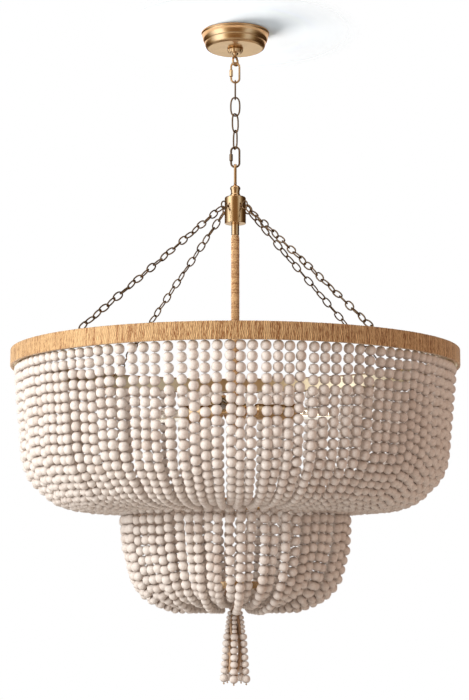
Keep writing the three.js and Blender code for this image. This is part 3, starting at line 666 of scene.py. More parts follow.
def bead_material(settings):
    """Whitewashed wood: pale wash over brown wood that shows in the grain and on some beads, with painted
    shade round the holes where the beads touch.
    """
    material, tree, shader = new_material("whitewashed_wood")
    grain_colour = blended(settings.pale, settings.dark, 0.26)
    worn_colour = blended(settings.pale, settings.dark, 0.5)
    grain = noise(tree, 380, 4)
    wash = mixed(tree, ramp(tree, grain, ((0.42, BLACK), (0.68, WHITE))), tuple(settings.pale), grain_colour)
    worn = ramp(tree, noise(tree, 110, 2), ((0.56, BLACK), (0.8, grey(0.5))))
    wood = mixed(tree, worn, wash, worn_colour)
    tones = ((0.0, (0.78, 0.72, 0.68)), (0.35, (0.94, 0.92, 0.91)), (1.0, WHITE))
    toned = mixed(tree, 1.0, wood, ramp(tree, attribute(tree, "tone"), tones), "MULTIPLY")
    # Painted shade: the wood darkens round the holes, where neighbouring beads touch and shade each other.
    seat = tuple(0.5 * c for c in settings.dark)
    plug(tree, mixed(tree, attribute(tree, "seat"), toned, seat), shader.inputs["Base Color"])
    shader.inputs["Roughness"].default_value = 0.6
    bump(tree, shader, grain, 0.25, 0.25 * MM)
    return material


def fibre_material(settings, name, stretch):
    """Wound fibre: each turn has its own tone, streaks run across or along it, and painted shade darkens the
    grooves between turns.
    """
    material, tree, shader = new_material(name)
    broad = noise(tree, 430, 3, stretch)
    fine = noise(tree, 1000, 3, stretch)
    streak = weighted(tree, broad, 0.55, fine, 0.45)
    level = weighted(tree, attribute(tree, "tone"), 0.16, streak, 0.98)
    stops = ((0.45, settings.saddle), (0.54, blended(settings.straw, settings.saddle, 0.4)),
             (0.66, settings.straw))
    # Painted shade in the grooves between turns.
    groove = tuple(0.4 * c for c in settings.saddle)
    shaded = mixed(tree, attribute(tree, "groove"), ramp(tree, level, stops), groove)
    plug(tree, shaded, shader.inputs["Base Color"])
    shader.inputs["Roughness"].default_value = 0.5
    shader.inputs["Sheen Weight"].default_value = 0.7
    shader.inputs["Sheen Roughness"].default_value = 0.4
    bump(tree, shader, streak, 0.6, 0.4 * MM)
    return material


def thread_material():
    """Brown twisted thread."""
    material, tree, shader = new_material("brown_thread")
    twist = noise(tree, 1500, 2, (1, 1, 3))
    brown = ramp(tree, twist, ((0.3, (0.36, 0.23, 0.14)), (0.7, (0.62, 0.45, 0.31))))
    plug(tree, brown, shader.inputs["Base Color"])
    shader.inputs["Roughness"].default_value = 0.85
    bump(tree, shader, twist, 0.4, 0.2 * MM)
    return material


def glass_material():
    """Clear lamp glass with a warm tint."""
    material, tree, shader = new_material("lamp_glass")
    shader.inputs["Base Color"].default_value = (0.98, 0.93, 0.82, 1)
    shader.inputs["Transmission Weight"].default_value = 1
    shader.inputs["Roughness"].default_value = 0.02
    shader.inputs["IOR"].default_value = 1.45
    return material


MATERIALS = {}


def finish_of(name):
    """The material of that name, made once."""
    scene = bpy.context.scene
    metal = scene.chandelier_metal
    makers = {
        "satin": lambda: brass_material("satin_antique_brass", metal.satin, 0.21, 0.04),
        "raw": lambda: brass_material("raw_brass", (0.82, 0.70, 0.48), 0.34, 0.08),
        "aged": lambda: brass_material("aged_brass", metal.aged, 0.36, 0.25),
        "steel": steel_material,
        "bead": lambda: bead_material(scene.chandelier_beads),
        "fibre": lambda: fibre_material(scene.chandelier_fibre, "wrapped_fibre", (1, 1, 0.24)),
        "cord": lambda: fibre_material(scene.chandelier_fibre, "wound_cord", (0.5, 0.5, 1.6)),
        "thread": thread_material,
        "glass": glass_material,
    }
    if name not in MATERIALS:
        MATERIALS[name] = makers[name]()
    return MATERIALS[name]


# Canopy and bracket

class CHANDELIER_OT_canopy(bpy.types.Operator):
    """Bracket, spun canopy, threaded loop and notched collar"""

    bl_idname = "chandelier.canopy"
    bl_label = "Canopy"

    def execute(self, context):
        for node in BRACKET_NODES:
            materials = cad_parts[node].data.materials
            materials.clear()
            materials.append(finish_of("steel"))
        self.shell()
        self.loop()
        self.collar()
        return {"FINISHED"}

    def shell(self):
        """A wall turned about the axis, from the lip to the hole in the plate and back inside."""
        radius = high("canopy", 0)
        height = -low("canopy", 2)
        outer = [(out * radius, -down * height) for out, down in CANOPY_OUTLINE_SHARES]
        inner = [(r - CANOPY_WALL, min(z + CANOPY_WALL, 0)) for r, z in reversed(outer)]
        corners = [*outer, (CANOPY_HOLE, -height), (CANOPY_HOLE, CANOPY_WALL - height), *inner]
        add_piece("canopy_shell", lathed(corners, 1.4 * MM, 160, arc=5), "satin", "canopy", "canopy_shell")

    def loop(self):
        """A barrel, a neck that narrows below it, and a ring of round wire turned aslant."""
        bottom = low("canopy_collar", 2) - 0.6 * MM
        top = high("canopy_loop", 2)
        ring_z = low("canopy_loop", 2) + LOOP_WIRE + LOOP_REACH
        neck = ring_z + LOOP_REACH + LOOP_WIRE
        floor = bottom + 14 * MM
        outside, bore = 11 * MM, 5.6 * MM
        corners = [(0, floor), (bore, floor), (bore, top), (outside, top), (outside, bottom),
                   (6.5 * MM, bottom), (5.2 * MM, (bottom + neck) / 2), (3.2 * MM, neck), (0, neck - 1 * MM)]
        barrel = lathed(corners, 0.8 * MM, 64, False)
        ring = shifted(spun(wire_ring(LOOP_REACH, LOOP_WIRE, 48, 16), LOOP_TURN), 0, 0, ring_z)
        add_piece("canopy_loop_brass", joined([barrel, ring]), "satin", "canopy_loop", "bracket")

    def collar(self):
        """A skirt that narrows downwards, whose radius dips in twelve grip notches."""
        bottom = low("canopy_collar", 2)
        top = high("canopy_collar", 2)
        radius = COLLAR_RADIUS
        steps = 192
        notch = np.clip(np.cos(np.arange(steps) * COLLAR_NOTCHES * FULL / steps) * 2.2 - 0.6, 0, 1)
        corners = [(COLLAR_HOLE, bottom), (radius * 0.83, bottom), (radius * 0.86, bottom + 1 * MM),
                   (radius, top - 2.2 * MM), (radius * 0.97, top), (COLLAR_HOLE, top)]
        profile = soft_corners(corners, 0.6 * MM, True)
        depth = np.where(profile[:, :1] > 0.8 * radius, COLLAR_NOTCH_DEPTH, 0.0)
        add_piece("canopy_collar_brass", turned(profile, steps, ripple=1 - depth * notch), "satin",
                  "canopy_collar", "collar_nut")


# Main chain

class CHANDELIER_OT_main_chain(bpy.types.Operator):
    """Quick links with their sleeves, and the oval links between them"""

    bl_idname = "chandelier.main_chain"
    bl_label = "Main chain"

    def execute(self, context):
        # The two quick links are of one dark brass: the upper link and its sleeve take the paler satin brass
        # as a painted lit copy, and the lower ones the aged brass.
        self.quick_link("upper", "satin")
        self.quick_link("lower", "aged")
        for i, turn in enumerate(OVAL_LINK_TURNS, 1):
            node = f"chain_link_{i}"
            wire = OVAL_LINK_WIRE
            half_length = (high(node, 2) - low(node, 2)) / 2 - wire
            path = oval(OVAL_LINK_HALF_WIDTH - wire, half_length, OVAL_LINK_POWER, 56)
            link = spun(bent(path, wire, 12, True), math.radians(turn))
            add_piece(f"oval_link_{i}", shifted(link, 0, 0, middle(node, 2)), "aged", node, f"link_{i}")
        return {"FINISHED"}

    def quick_link(self, place, finish):
        """Wire bent into half circles joined by straight sides, open on the left inside its sleeve."""
        node = f"{place}_quick_link"
        sleeve = f"{place}_link_sleeve"
        wire = QUICK_LINK_WIRE
        half_length = (high(node, 2) - low(node, 2)) / 2 - wire
        half_width = QUICK_LINK_HALF_WIDTH - wire
        centre = middle(node, 2)
        straight = half_length - half_width
        a = np.linspace(0, math.pi, 24)
        x = np.concatenate([-half_width * np.cos(a), half_width * np.cos(a)])
        z = np.concatenate([straight + half_width * np.sin(a), -straight - half_width * np.sin(a)])
        gap_low = low(sleeve, 2) + 1 * MM - centre
        gap_high = 6 * MM + gap_low
        x = np.concatenate([[-half_width], x, [-half_width]])
        z = np.concatenate([[gap_high], z, [gap_low]])
        path = np.stack([x, np.zeros(len(x)), z + centre], axis=1)
        add_piece(f"{place}_link_wire", bent(path, wire, 14, False), finish, node, f"{place}_link")
        nut_shape = nut(SLEEVE_RADIUS, wire + 0.25 * MM, low(sleeve, 2), high(sleeve, 2), 1.4 * MM)
        add_piece(f"{place}_sleeve_nut", shifted(nut_shape, -half_width, 0, 0), finish, sleeve,
                  f"{place}_sleeve")


# Fixture loop, spool, hub, its eyes and the ferrule

class CHANDELIER_OT_hub(bpy.types.Operator):
    """Fixture loop, spool, hub, hub eyes and stem ferrule"""

    bl_idname = "chandelier.hub"
    bl_label = "Hub"

    def execute(self, context):
        self.loop()
        self.spool()
        self.block()
        self.eyes()
        return {"FINISHED"}

    def loop(self):
        """A flat-sided oval in the plane across the view, on its threaded pin."""
        bottom = high("loop_spool", 2) + 0.3 * MM
        top = high("fixture_loop", 2)
        thin = FIXTURE_LOOP_THIN
        path = oval(FIXTURE_LOOP_HALF_WIDTH - thin, (top - bottom) / 2 - thin, 2.5, 64)
        ring = spun(bent(path, thin, 16, True, FIXTURE_LOOP_DEEP, power=3), QUARTER)
        foot = low("fixture_loop", 2)
        corners = [(0, foot), (PIN_RADIUS, foot), (PIN_RADIUS, bottom + thin), (0, bottom + thin)]
        pin = lathed(corners, 0.5 * MM, 48, False)
        add_piece("fixture_loop_brass", joined([shifted(ring, 0, 0, (top + bottom) / 2), pin]), "satin",
                  "fixture_loop")

    def spool(self):
        """A waisted spool: its outline flows through a foot, a waist and a head."""
        bottom = low("loop_spool", 2)
        height = high("loop_spool", 2) - bottom
        outline = flowing([(out * SPOOL_RADIUS, bottom + up * height) for out, up in SPOOL_SHARES], 5)
        profile = np.concatenate([[(HUB_HOLE, bottom)], outline, [(HUB_HOLE, bottom + height)]])
        add_piece("loop_spool_brass", turned(profile, 72), "satin", "loop_spool")

    def block(self):
        """A round block with a soft upper edge and the ferrule below it."""
        top, bottom = high("hub", 2), low("hub", 2)
        radius = high("hub", 0)
        bore, step = 8.5 * MM, bottom + 30 * MM
        corners = [(HUB_HOLE, top), (HUB_HOLE, step), (bore, step), (bore, bottom),
                   (radius - 0.8 * MM, bottom), (radius, bottom + 0.8 * MM), (radius, top - 3 * MM),
                   (radius - 1 * MM, top - 0.9 * MM), (radius - 3.4 * MM, top)]
        add_piece("hub_block", lathed(corners, 1.2 * MM, 128, arc=5), "satin", "hub")
        top, bottom = high("stem_ferrule", 2), low("stem_ferrule", 2)
        corners = [(6.5 * MM, bottom), (7.7 * MM, bottom), (8.1 * MM, bottom + 0.6 * MM), (8.1 * MM, top),
                   (6.5 * MM, top)]
        add_piece("ferrule_tube", lathed(corners, 0.4 * MM, 72), "satin", "stem_ferrule")

    def eyes(self):
        """Rings in the planes of the chains, each on a short shank."""
        radius = high("hub", 0)
        reach = radius + EYE_SHANK + HUB_EYE_RADIUS
        ring = shifted(wire_ring(HUB_EYE_RADIUS, CHAIN_WIRE, 40, 10), reach, 0, 0)
        path = np.linspace((radius + 0.3 * MM, 0, 0), (radius + 3.6 * MM, 0, 0), 4)
        eye = joined([ring, bent(path, 2.4 * MM, 16, False)])
        for i, angle in enumerate(CHAIN_ANGLES, 1):
            placed = shifted(spun(eye, math.radians(angle)), 0, 0, middle("hub_eye_1", 2))
            add_piece(f"chain_eye_{i}", placed, "aged", f"hub_eye_{i}")


# Stem

class CHANDELIER_OT_stem(bpy.types.Operator):
    """Stem tube and its fibre wrapping"""

    bl_idname = "chandelier.stem"
    bl_label = "Stem"

    def execute(self, context):
        top, bottom = high("stem_tube", 2), low("stem_tube", 2)
        corners = [(4 * MM, bottom), (STEM_RADIUS, bottom), (STEM_RADIUS, top), (4 * MM, top)]
        add_piece("stem_pipe", lathed(corners, 0.3 * MM, 48), "satin", "stem_tube")
        self.wrapping()
        return {"FINISHED"}

    def wrapping(self):
        """A cord wound in a close helix: radius + crest of cos(height turns + angle), thinner at its top end.
        A plain row at each end closes it on the inside."""
        random = np.random.default_rng(11)
        top, bottom = high("stem_wrap", 2), low("stem_wrap", 2)
        turns = int((top - bottom) / STEM_WRAP_PITCH)
        samples, sides = 5, 36
        count = turns * samples
        z = np.linspace(bottom, top, count)[:, None]
        a = np.arange(sides)[None, :] * FULL / sides
        phase = np.arange(count)[:, None] / samples + a / FULL
        crest = np.abs(np.cos(phase * math.pi)) ** 0.6
        wander = random.normal(0, 0.12, turns + 1)
        wander = np.interp(np.arange(count), np.arange(turns + 1) * samples, wander)
        taper = np.clip((top - z) / (6 * MM), 0, 1) ** 0.6
        r = 7.0 * MM + taper * 1.35 * MM + (crest * 0.35 + wander[:, None] * crest) * MM
        rows = np.stack([r * np.cos(a), r * np.sin(a), np.repeat(z, sides, 1)], axis=-1)
        inner = np.stack([STEM_WRAP_INSIDE * np.cos(a), STEM_WRAP_INSIDE * np.sin(a), 0 * a], axis=-1)
        rows = np.concatenate([inner + (0, 0, bottom), rows, inner + (0, 0, top)])
        tone = random.uniform(0.0, 0.9, turns + 2)[(phase.astype(int)) % (turns + 2)]
        # Painted shade: darker where the cord dips between its turns.
        groove = np.clip(1.05 - crest * 1.3, 0, 0.9)
        end = np.full((1, sides), 0.5)
        marks = {"tone": tone, "groove": groove}
        marks = {key: np.concatenate([end, value, end]).reshape(-1) for key, value in marks.items()}
        add_piece("stem_wrapping", grid(rows, True), "cord", "stem_wrap", marks=marks, weld=False)


# Rim

class CHANDELIER_OT_rim(bpy.types.Operator):
    """Rim hoop with its eyes, and its fibre wrapping"""

    bl_idname = "chandelier.rim"
    bl_label = "Rim"

    def execute(self, context):
        self.hoop()
        self.wrapping()
        return {"FINISHED"}

    def hoop(self):
        """A hoop of angle section, and an eye inside it for each chain."""
        outer = RIM_RADIUS - WRAP_THICKNESS - 0.3 * MM
        inner = outer - HOOP_METAL
        top = high("rim_hoop", 2)
        bottom = low("rim_hoop", 2)
        flange = RIM_BEAD_REACH - 5.5 * MM
        step = bottom + HOOP_METAL
        corners = [(inner, top), (outer, top), (outer, bottom), (flange, bottom), (flange, step),
                   (inner, step)]
        hoop = lathed(corners, 0.6 * MM, 360, arc=3)
        ring = wire_ring(RIM_EYE_RADIUS, CHAIN_WIRE, 32, 10)
        eye = shifted(ring, inner - RIM_EYE_RADIUS, 0, RIM_TOP - RIM_EYE_DROP)
        eyes = [spun(eye, math.radians(angle)) for angle in CHAIN_ANGLES]
        add_piece("hoop_of_angle", joined([hoop, *eyes]), "raw", "rim_hoop")

    def wrapping(self):
        """Turns of fibre side by side round the hoop. Along the rim each turn is a small crest, and the
        turns waver together in slow waves."""
        random = np.random.default_rng(5)
        edge = 0.45 * MM
        low_edge = RIM_TOP - RIM_HEIGHT
        top, bottom = RIM_TOP - edge, low_edge + edge
        outside = RIM_RADIUS - edge
        inside = RIM_RADIUS - WRAP_THICKNESS
        top_inside = RIM_RADIUS - WRAP_TOP_WIDTH
        bottom_inside = RIM_RADIUS - WRAP_BOTTOM_WIDTH
        corners = [
            (outside, top),
            (top_inside, top),
            (top_inside, RIM_TOP - WRAP_LIP),
            (inside, RIM_TOP - WRAP_THICKNESS),
            (inside, low_edge + WRAP_THICKNESS),
            (bottom_inside, low_edge + WRAP_LIP),
            (bottom_inside, bottom),
            (outside, bottom),
        ]
        section = filled(soft_corners(corners, 1.3 * MM, True, 3), 5 * MM)
        run = np.roll(section, -1, axis=0) - np.roll(section, 1, axis=0)
        normal = np.stack([-run[:, 1], run[:, 0]], axis=1)
        normal /= np.linalg.norm(normal, axis=1)[:, None]
        normal *= np.sign(normal[np.argmax(section[:, 0]), 0])
        turns = RIM_WRAP_TURNS
        within = np.array([0, 0.36, 0.68])
        samples = len(within)
        edges = np.arange(turns) + random.uniform(-0.1, 0.1, turns)
        place = (edges[:, None] + within).reshape(-1)
        crest = np.tile([-0.45, 0.16, 0.16], turns) + np.repeat(random.uniform(-0.15, 0.15, turns), samples)
        waves = random.uniform(0, FULL, len(RIM_WRAP_WAVES))
        share = (section[:, 1] - RIM_TOP) / RIM_HEIGHT + 0.5
        angle = np.repeat(place[:, None], len(section), 1)
        for (across, down), phase in zip(RIM_WRAP_WAVES, waves):
            angle += RIM_WRAP_WAVER * np.sin(place[:, None] / turns * FULL * across + phase + share * down)
        angle *= FULL / turns
        r = section[:, 0] + crest[:, None] * MM * normal[:, 0]
        z = section[:, 1] + crest[:, None] * MM * normal[:, 1]
        rows = np.stack([r * np.cos(angle), r * np.sin(angle), z], axis=-1)
        tone = np.repeat(random.uniform(0, 1, turns), samples * len(section))
        # Painted shade in the groove at the start of each turn.
        groove = np.repeat(np.tile([0.75, 0.04, 0.04], turns), len(section))
        marks = {"tone": tone, "groove": groove}
        add_piece("rim_wrapping", grid(rows, True), "fibre", "rim_wrap", marks=marks, weld=False)


# Fine chains

class CHANDELIER_OT_rim_chains(bpy.types.Operator):
    """Four fine chains from the hub's eyes to the rim's eyes"""

    bl_idname = "chandelier.rim_chains"
    bl_label = "Rim chains"

    def execute(self, context):
        start = np.array([high("hub", 0) + EYE_SHANK + HUB_EYE_RADIUS, 0, middle("hub_eye_1", 2)])
        inner = RIM_RADIUS - WRAP_THICKNESS - 0.3 * MM - HOOP_METAL
        end = np.array([inner - RIM_EYE_RADIUS, 0, RIM_TOP - RIM_EYE_DROP])
        pull = (end - start) / np.linalg.norm(end - start)
        start = start + pull * (HUB_EYE_RADIUS - 2 * CHAIN_WIRE)
        end = end - pull * (RIM_EYE_RADIUS - 2 * CHAIN_WIRE)
        half_length = CHAIN_LINK_LENGTH / 2 - CHAIN_WIRE
        reach = np.linalg.norm(end - start) - 2 * half_length
        count = int(round(reach / CHAIN_LINK_PITCH)) + 1
        link = bent(oval(CHAIN_LINK_WIDTH / 2 - CHAIN_WIRE, half_length, 2.3, 28), CHAIN_WIRE, 8, True)
        side = np.array([0, 1, 0])
        rise = np.cross(pull, side)
        steps = np.arange(count)
        centres = start + (half_length + steps * reach / (count - 1))[:, None] * pull
        random = np.random.default_rng(23)
        for i, angle in enumerate(CHAIN_ANGLES, 1):
            turns = steps * CHAIN_LINK_TURN + random.uniform(0, FULL) + random.normal(0, 0.16, count)
            across = np.cos(turns)[:, None] * side + np.sin(turns)[:, None] * rise
            along = np.broadcast_to(pull, across.shape)
            bases = np.stack([across, np.cross(along, across), along], axis=-1)
            chain = copies(link, centres, bases, np.ones((count, 3)))
            add_piece(f"fine_chain_{i}", spun(chain, math.radians(angle)), "aged", f"rim_chain_{i}")
        return {"FINISHED"}


# Strands of beads

BEAD = bead_template()
# Painted contact shade on the bead: none at its middle, darkest at its holes.
BEAD_CONTACT_SHADE = np.clip((np.abs(BEAD[0][:, 2]) - CONTACT_SHADE_FROM) / CONTACT_SHADE_OVER, 0, 1) ** 1.5 * CONTACT_SHADE_DARKNESS


def beads_at(centres, bases, scales, tones):
    """Copies of the bead, with the tone of each and the painted contact shade round its holes."""
    surface = copies(BEAD, centres, bases, scales)
    marks = {"tone": np.repeat(tones, len(BEAD[0])), "seat": np.tile(BEAD_CONTACT_SHADE, len(centres))}
    return surface, marks


def eased(value):
    """A smooth step: 3 v^2 - 2 v^3 for v from 0 to 1."""
    v = np.clip(value, 0, 1)
    return v * v * (3 - 2 * v)


def uneven(number, random):
    """Places of strands side by side, whose gaps share out the slack at random and sum to their number."""
    gaps = 1 - STRAND_SLACK + STRAND_SLACK * number * random.dirichlet(np.full(number, 1.4))
    return np.cumsum(gaps) - gaps / 2


def wire(points, side, radius):
    """A thin four-sided wire along points, from corners at radius along its side and across it."""
    along = np.gradient(points, axis=0)
    facing = np.cross(along, side)
    facing /= np.linalg.norm(facing, axis=1)[:, None]
    rows = np.stack([points + radius * side, points + radius * facing, points - radius * side,
                     points - radius * facing], axis=1)
    return grid(np.concatenate([points[:1, None].repeat(4, 1), rows, points[-1:, None].repeat(4, 1)]), False)


def strand_panel(curve, ends, length, taper, strands, first, number, layers, bow, random):
    """Beads and strings of neighbouring strands that follow a flat curve of (reach, height).

    The number of beads passed is the integral of length over pitch, and a bead sits wherever it is a half
    more than a whole number. Where the strands crowd, they part into layers, each a share of a bead further
    in. Each strand runs a little ahead or behind, and bows sideways and outwards by a half wave.
    """
    steps = np.linalg.norm(np.diff(curve, axis=0), axis=1)
    run = np.concatenate([[0], np.cumsum(steps)])
    down = run / run[-1]
    apart = FULL * curve[:, 0] / strands
    whole = length * (1 - taper * eased((down - TAPER_FROM) / (1 - TAPER_FROM)))
    size = np.minimum(whole, apart * (0.7 + 0.6 * max(layers)))
    passed = np.concatenate([[0], np.cumsum(2 * steps / (size[1:] + size[:-1]))])
    count = int(passed[-1])
    at = np.interp((np.arange(count) + 0.5) * passed[-1] / count, passed, run)
    sizes = np.interp(at, run, size)
    crowd = eased((sizes / np.interp(at, run, apart) - CROWDED_FROM) / CROWDED_OVER)
    half_wave = np.sin(math.pi * np.interp(at, run, down) ** 0.85)
    own = random.normal(0, 1, (3, number, 1))
    place = np.clip(at + own[0] * STRAND_SLIP * half_wave, at[0], at[-1])
    slope = np.gradient(curve, run, axis=0)
    fall = np.stack([np.interp(place, run, slope[:, 0]), np.interp(place, run, slope[:, 1])], axis=-1)
    fall /= np.linalg.norm(fall, axis=-1)[..., None]
    layer = np.array([layers[(first + i) % len(layers)] for i in range(number)])[:, None]
    outward = own[1] * bow * 0.5 * half_wave - layer * LAYER_SHARE * sizes * crowd
    outward = outward + random.normal(0, BEAD_WOBBLE, (number, count))
    r = np.interp(place, run, curve[:, 0]) - outward * fall[..., 1]
    z = np.interp(place, run, curve[:, 1]) + outward * fall[..., 0]
    offset = (uneven(number, random) - np.arange(number))[:, None]
    a = first + np.arange(number)[:, None] + offset * (1 - 0.75 * crowd)
    a = a + random.normal(0, BEAD_ANGLE_WOBBLE, (number, count))
    a = a * FULL / strands + own[2] * bow * 0.6 * half_wave / np.maximum(r, 60 * MM)
    centres = np.stack([r * np.cos(a), r * np.sin(a), z], axis=-1)
    side = np.stack([-np.sin(a), np.cos(a), 0 * a], axis=-1)
    along = np.gradient(centres, axis=1)
    along /= np.linalg.norm(along, axis=-1)[..., None]
    across = side - np.sum(side * along, axis=-1)[..., None] * along
    across /= np.linalg.norm(across, axis=-1)[..., None]
    twist = random.uniform(0, FULL, (number, count, 1))
    across = np.cos(twist) * across + np.sin(twist) * np.cross(along, across)
    bases = np.stack([across, np.cross(along, across), along], axis=-1).reshape(-1, 3, 3)
    radii = np.broadcast_to(sizes / 2, (number, count)).reshape(-1)
    wide = radii * BEAD_WIDTH_SHARE * (1 + random.normal(0, BEAD_WIDTH_SPREAD, number * count))
    long = radii * (BEAD_LENGTH_SHARE + random.normal(0, BEAD_LENGTH_SPREAD, number * count))
    scales = np.stack([wide, wide, long], axis=1)
    beads = beads_at(centres.reshape(-1, 3), bases, scales, random.beta(3.0, 1.6, number * count))
    strings = []
    for i in range(number):
        tops = [np.array([reach * np.cos(a[i, k]), reach * np.sin(a[i, k]), height])
                for (reach, height), k in zip(ends, (0, -1))]
        points = np.concatenate([tops[:1], centres[i], tops[1:]])
        sides = np.concatenate([side[i, :1], side[i], side[i, -1:]])
        strings.append(wire(points, sides, STRING_RADIUS))
    return beads, joined(strings)


def tier_curve(shares, inner, outer, top, drop, steps):
    """A strand's flat curve of (reach, height), from shares of the way out and of the way down."""
    return flowing([(inner + out * (outer - inner), top - down * drop) for out, down in shares], steps)


def hang_strands(tier, curve, ends, length, taper, strands, panels, layers, bow):
    """Adds the beads and the strings of a tier, panel by panel."""
    number = strands // panels
    for i in range(panels):
        random = np.random.default_rng(STRAND_SEEDS[tier] + i)
        (beads, marks), strings = strand_panel(curve, ends, length, taper, strands, i * number, number,
                                               layers, bow, random)
        add_piece(f"{tier}_beads_{i + 1}", beads, "bead", f"{tier}_strands_{i + 1}", marks=marks, weld=False)
        add_piece(f"{tier}_strings_{i + 1}", strings, "thread")


class CHANDELIER_OT_upper_strands(bpy.types.Operator):
    """Beaded strands from the rim in to the lower ring"""

    bl_idname = "chandelier.upper_strands"
    bl_label = "Upper strands"

    def execute(self, context):
        settings = context.scene.chandelier_beads
        curve = tier_curve(UPPER_CURVE_SHARES, LOWER_RING_RADIUS, RIM_BEAD_REACH, RIM_TOP, UPPER_TIER_DROP,
                           24)
        ends = ((RIM_BEAD_REACH, RIM_TOP - RIM_HEIGHT + 1.6 * MM),
                (LOWER_RING_RADIUS + STRING_OFF_RING, LOWER_RING_Z - STRING_OFF_RING))
        hang_strands("upper", curve, ends, settings.upper_length, 0.2, settings.upper_strands, 8, (0, 1),
                     2.5 * MM)
        return {"FINISHED"}


class CHANDELIER_OT_lower_strands(bpy.types.Operator):
    """Lower ring, beaded strands from it in to the gathering ring, and that ring"""

    bl_idname = "chandelier.lower_strands"
    bl_label = "Lower strands"

    def execute(self, context):
        settings = context.scene.chandelier_beads
        path = oval(1, 1, 2, 240)[:, [0, 2, 1]] * LOWER_RING_RADIUS
        ring = bent(path, RING_WIRE, 14, True, normal=(0, 0, 1))
        add_piece("lower_ring_brass", shifted(ring, 0, 0, LOWER_RING_Z), "satin", "lower_ring")
        curve = tier_curve(LOWER_CURVE_SHARES, GATHER_RADIUS, LOWER_BEAD_REACH, LOWER_TIER_TOP,
                           LOWER_TIER_TOP - LOWER_TIER_BOTTOM, 20)
        ends = ((LOWER_RING_RADIUS - STRING_OFF_RING, LOWER_RING_Z - STRING_OFF_RING),
                (GATHER_RADIUS - 1 * MM, GATHER_LOW - 1.5 * MM))
        hang_strands("lower", curve, ends, settings.lower_length, 0.3, settings.lower_strands, 4,
                     (0, 2, 1, 3), 5 * MM)
        self.gathering_ring()
        return {"FINISHED"}

    def gathering_ring(self):
        """A short band, and the bar across it, with an eyelet that the tassel's knot rests in."""
        inner = GATHER_RADIUS - 2 * MM
        corners = [(inner, GATHER_LOW), (GATHER_RADIUS, GATHER_LOW), (GATHER_RADIUS, GATHER_HIGH),
                   (inner, GATHER_HIGH)]
        band = lathed(corners, 0.6 * MM, 120)
        level = (GATHER_LOW + GATHER_HIGH) / 2
        low_face, high_face = level - GATHER_BAR, level + GATHER_BAR
        hole, outer = 3.1 * MM, 4.8 * MM
        corners = [(hole, low_face), (outer, low_face), (outer, high_face), (hole, high_face)]
        eyelet = lathed(corners, 0.3 * MM, 32)
        halves = []
        for side in (-1, 1):
            x = np.linspace(hole + 0.3 * MM, inner + 0.4 * MM, 6) * side
            path = np.stack([x, np.zeros(6), np.full(6, level)], axis=1)
            halves.append(bent(path, GATHER_BAR, 16, False, GATHER_BAR_HALF_WIDTH, power=4))
        add_piece("gathering_band", joined([band, *halves, eyelet]), "satin", "gathering_ring")


# Tassel

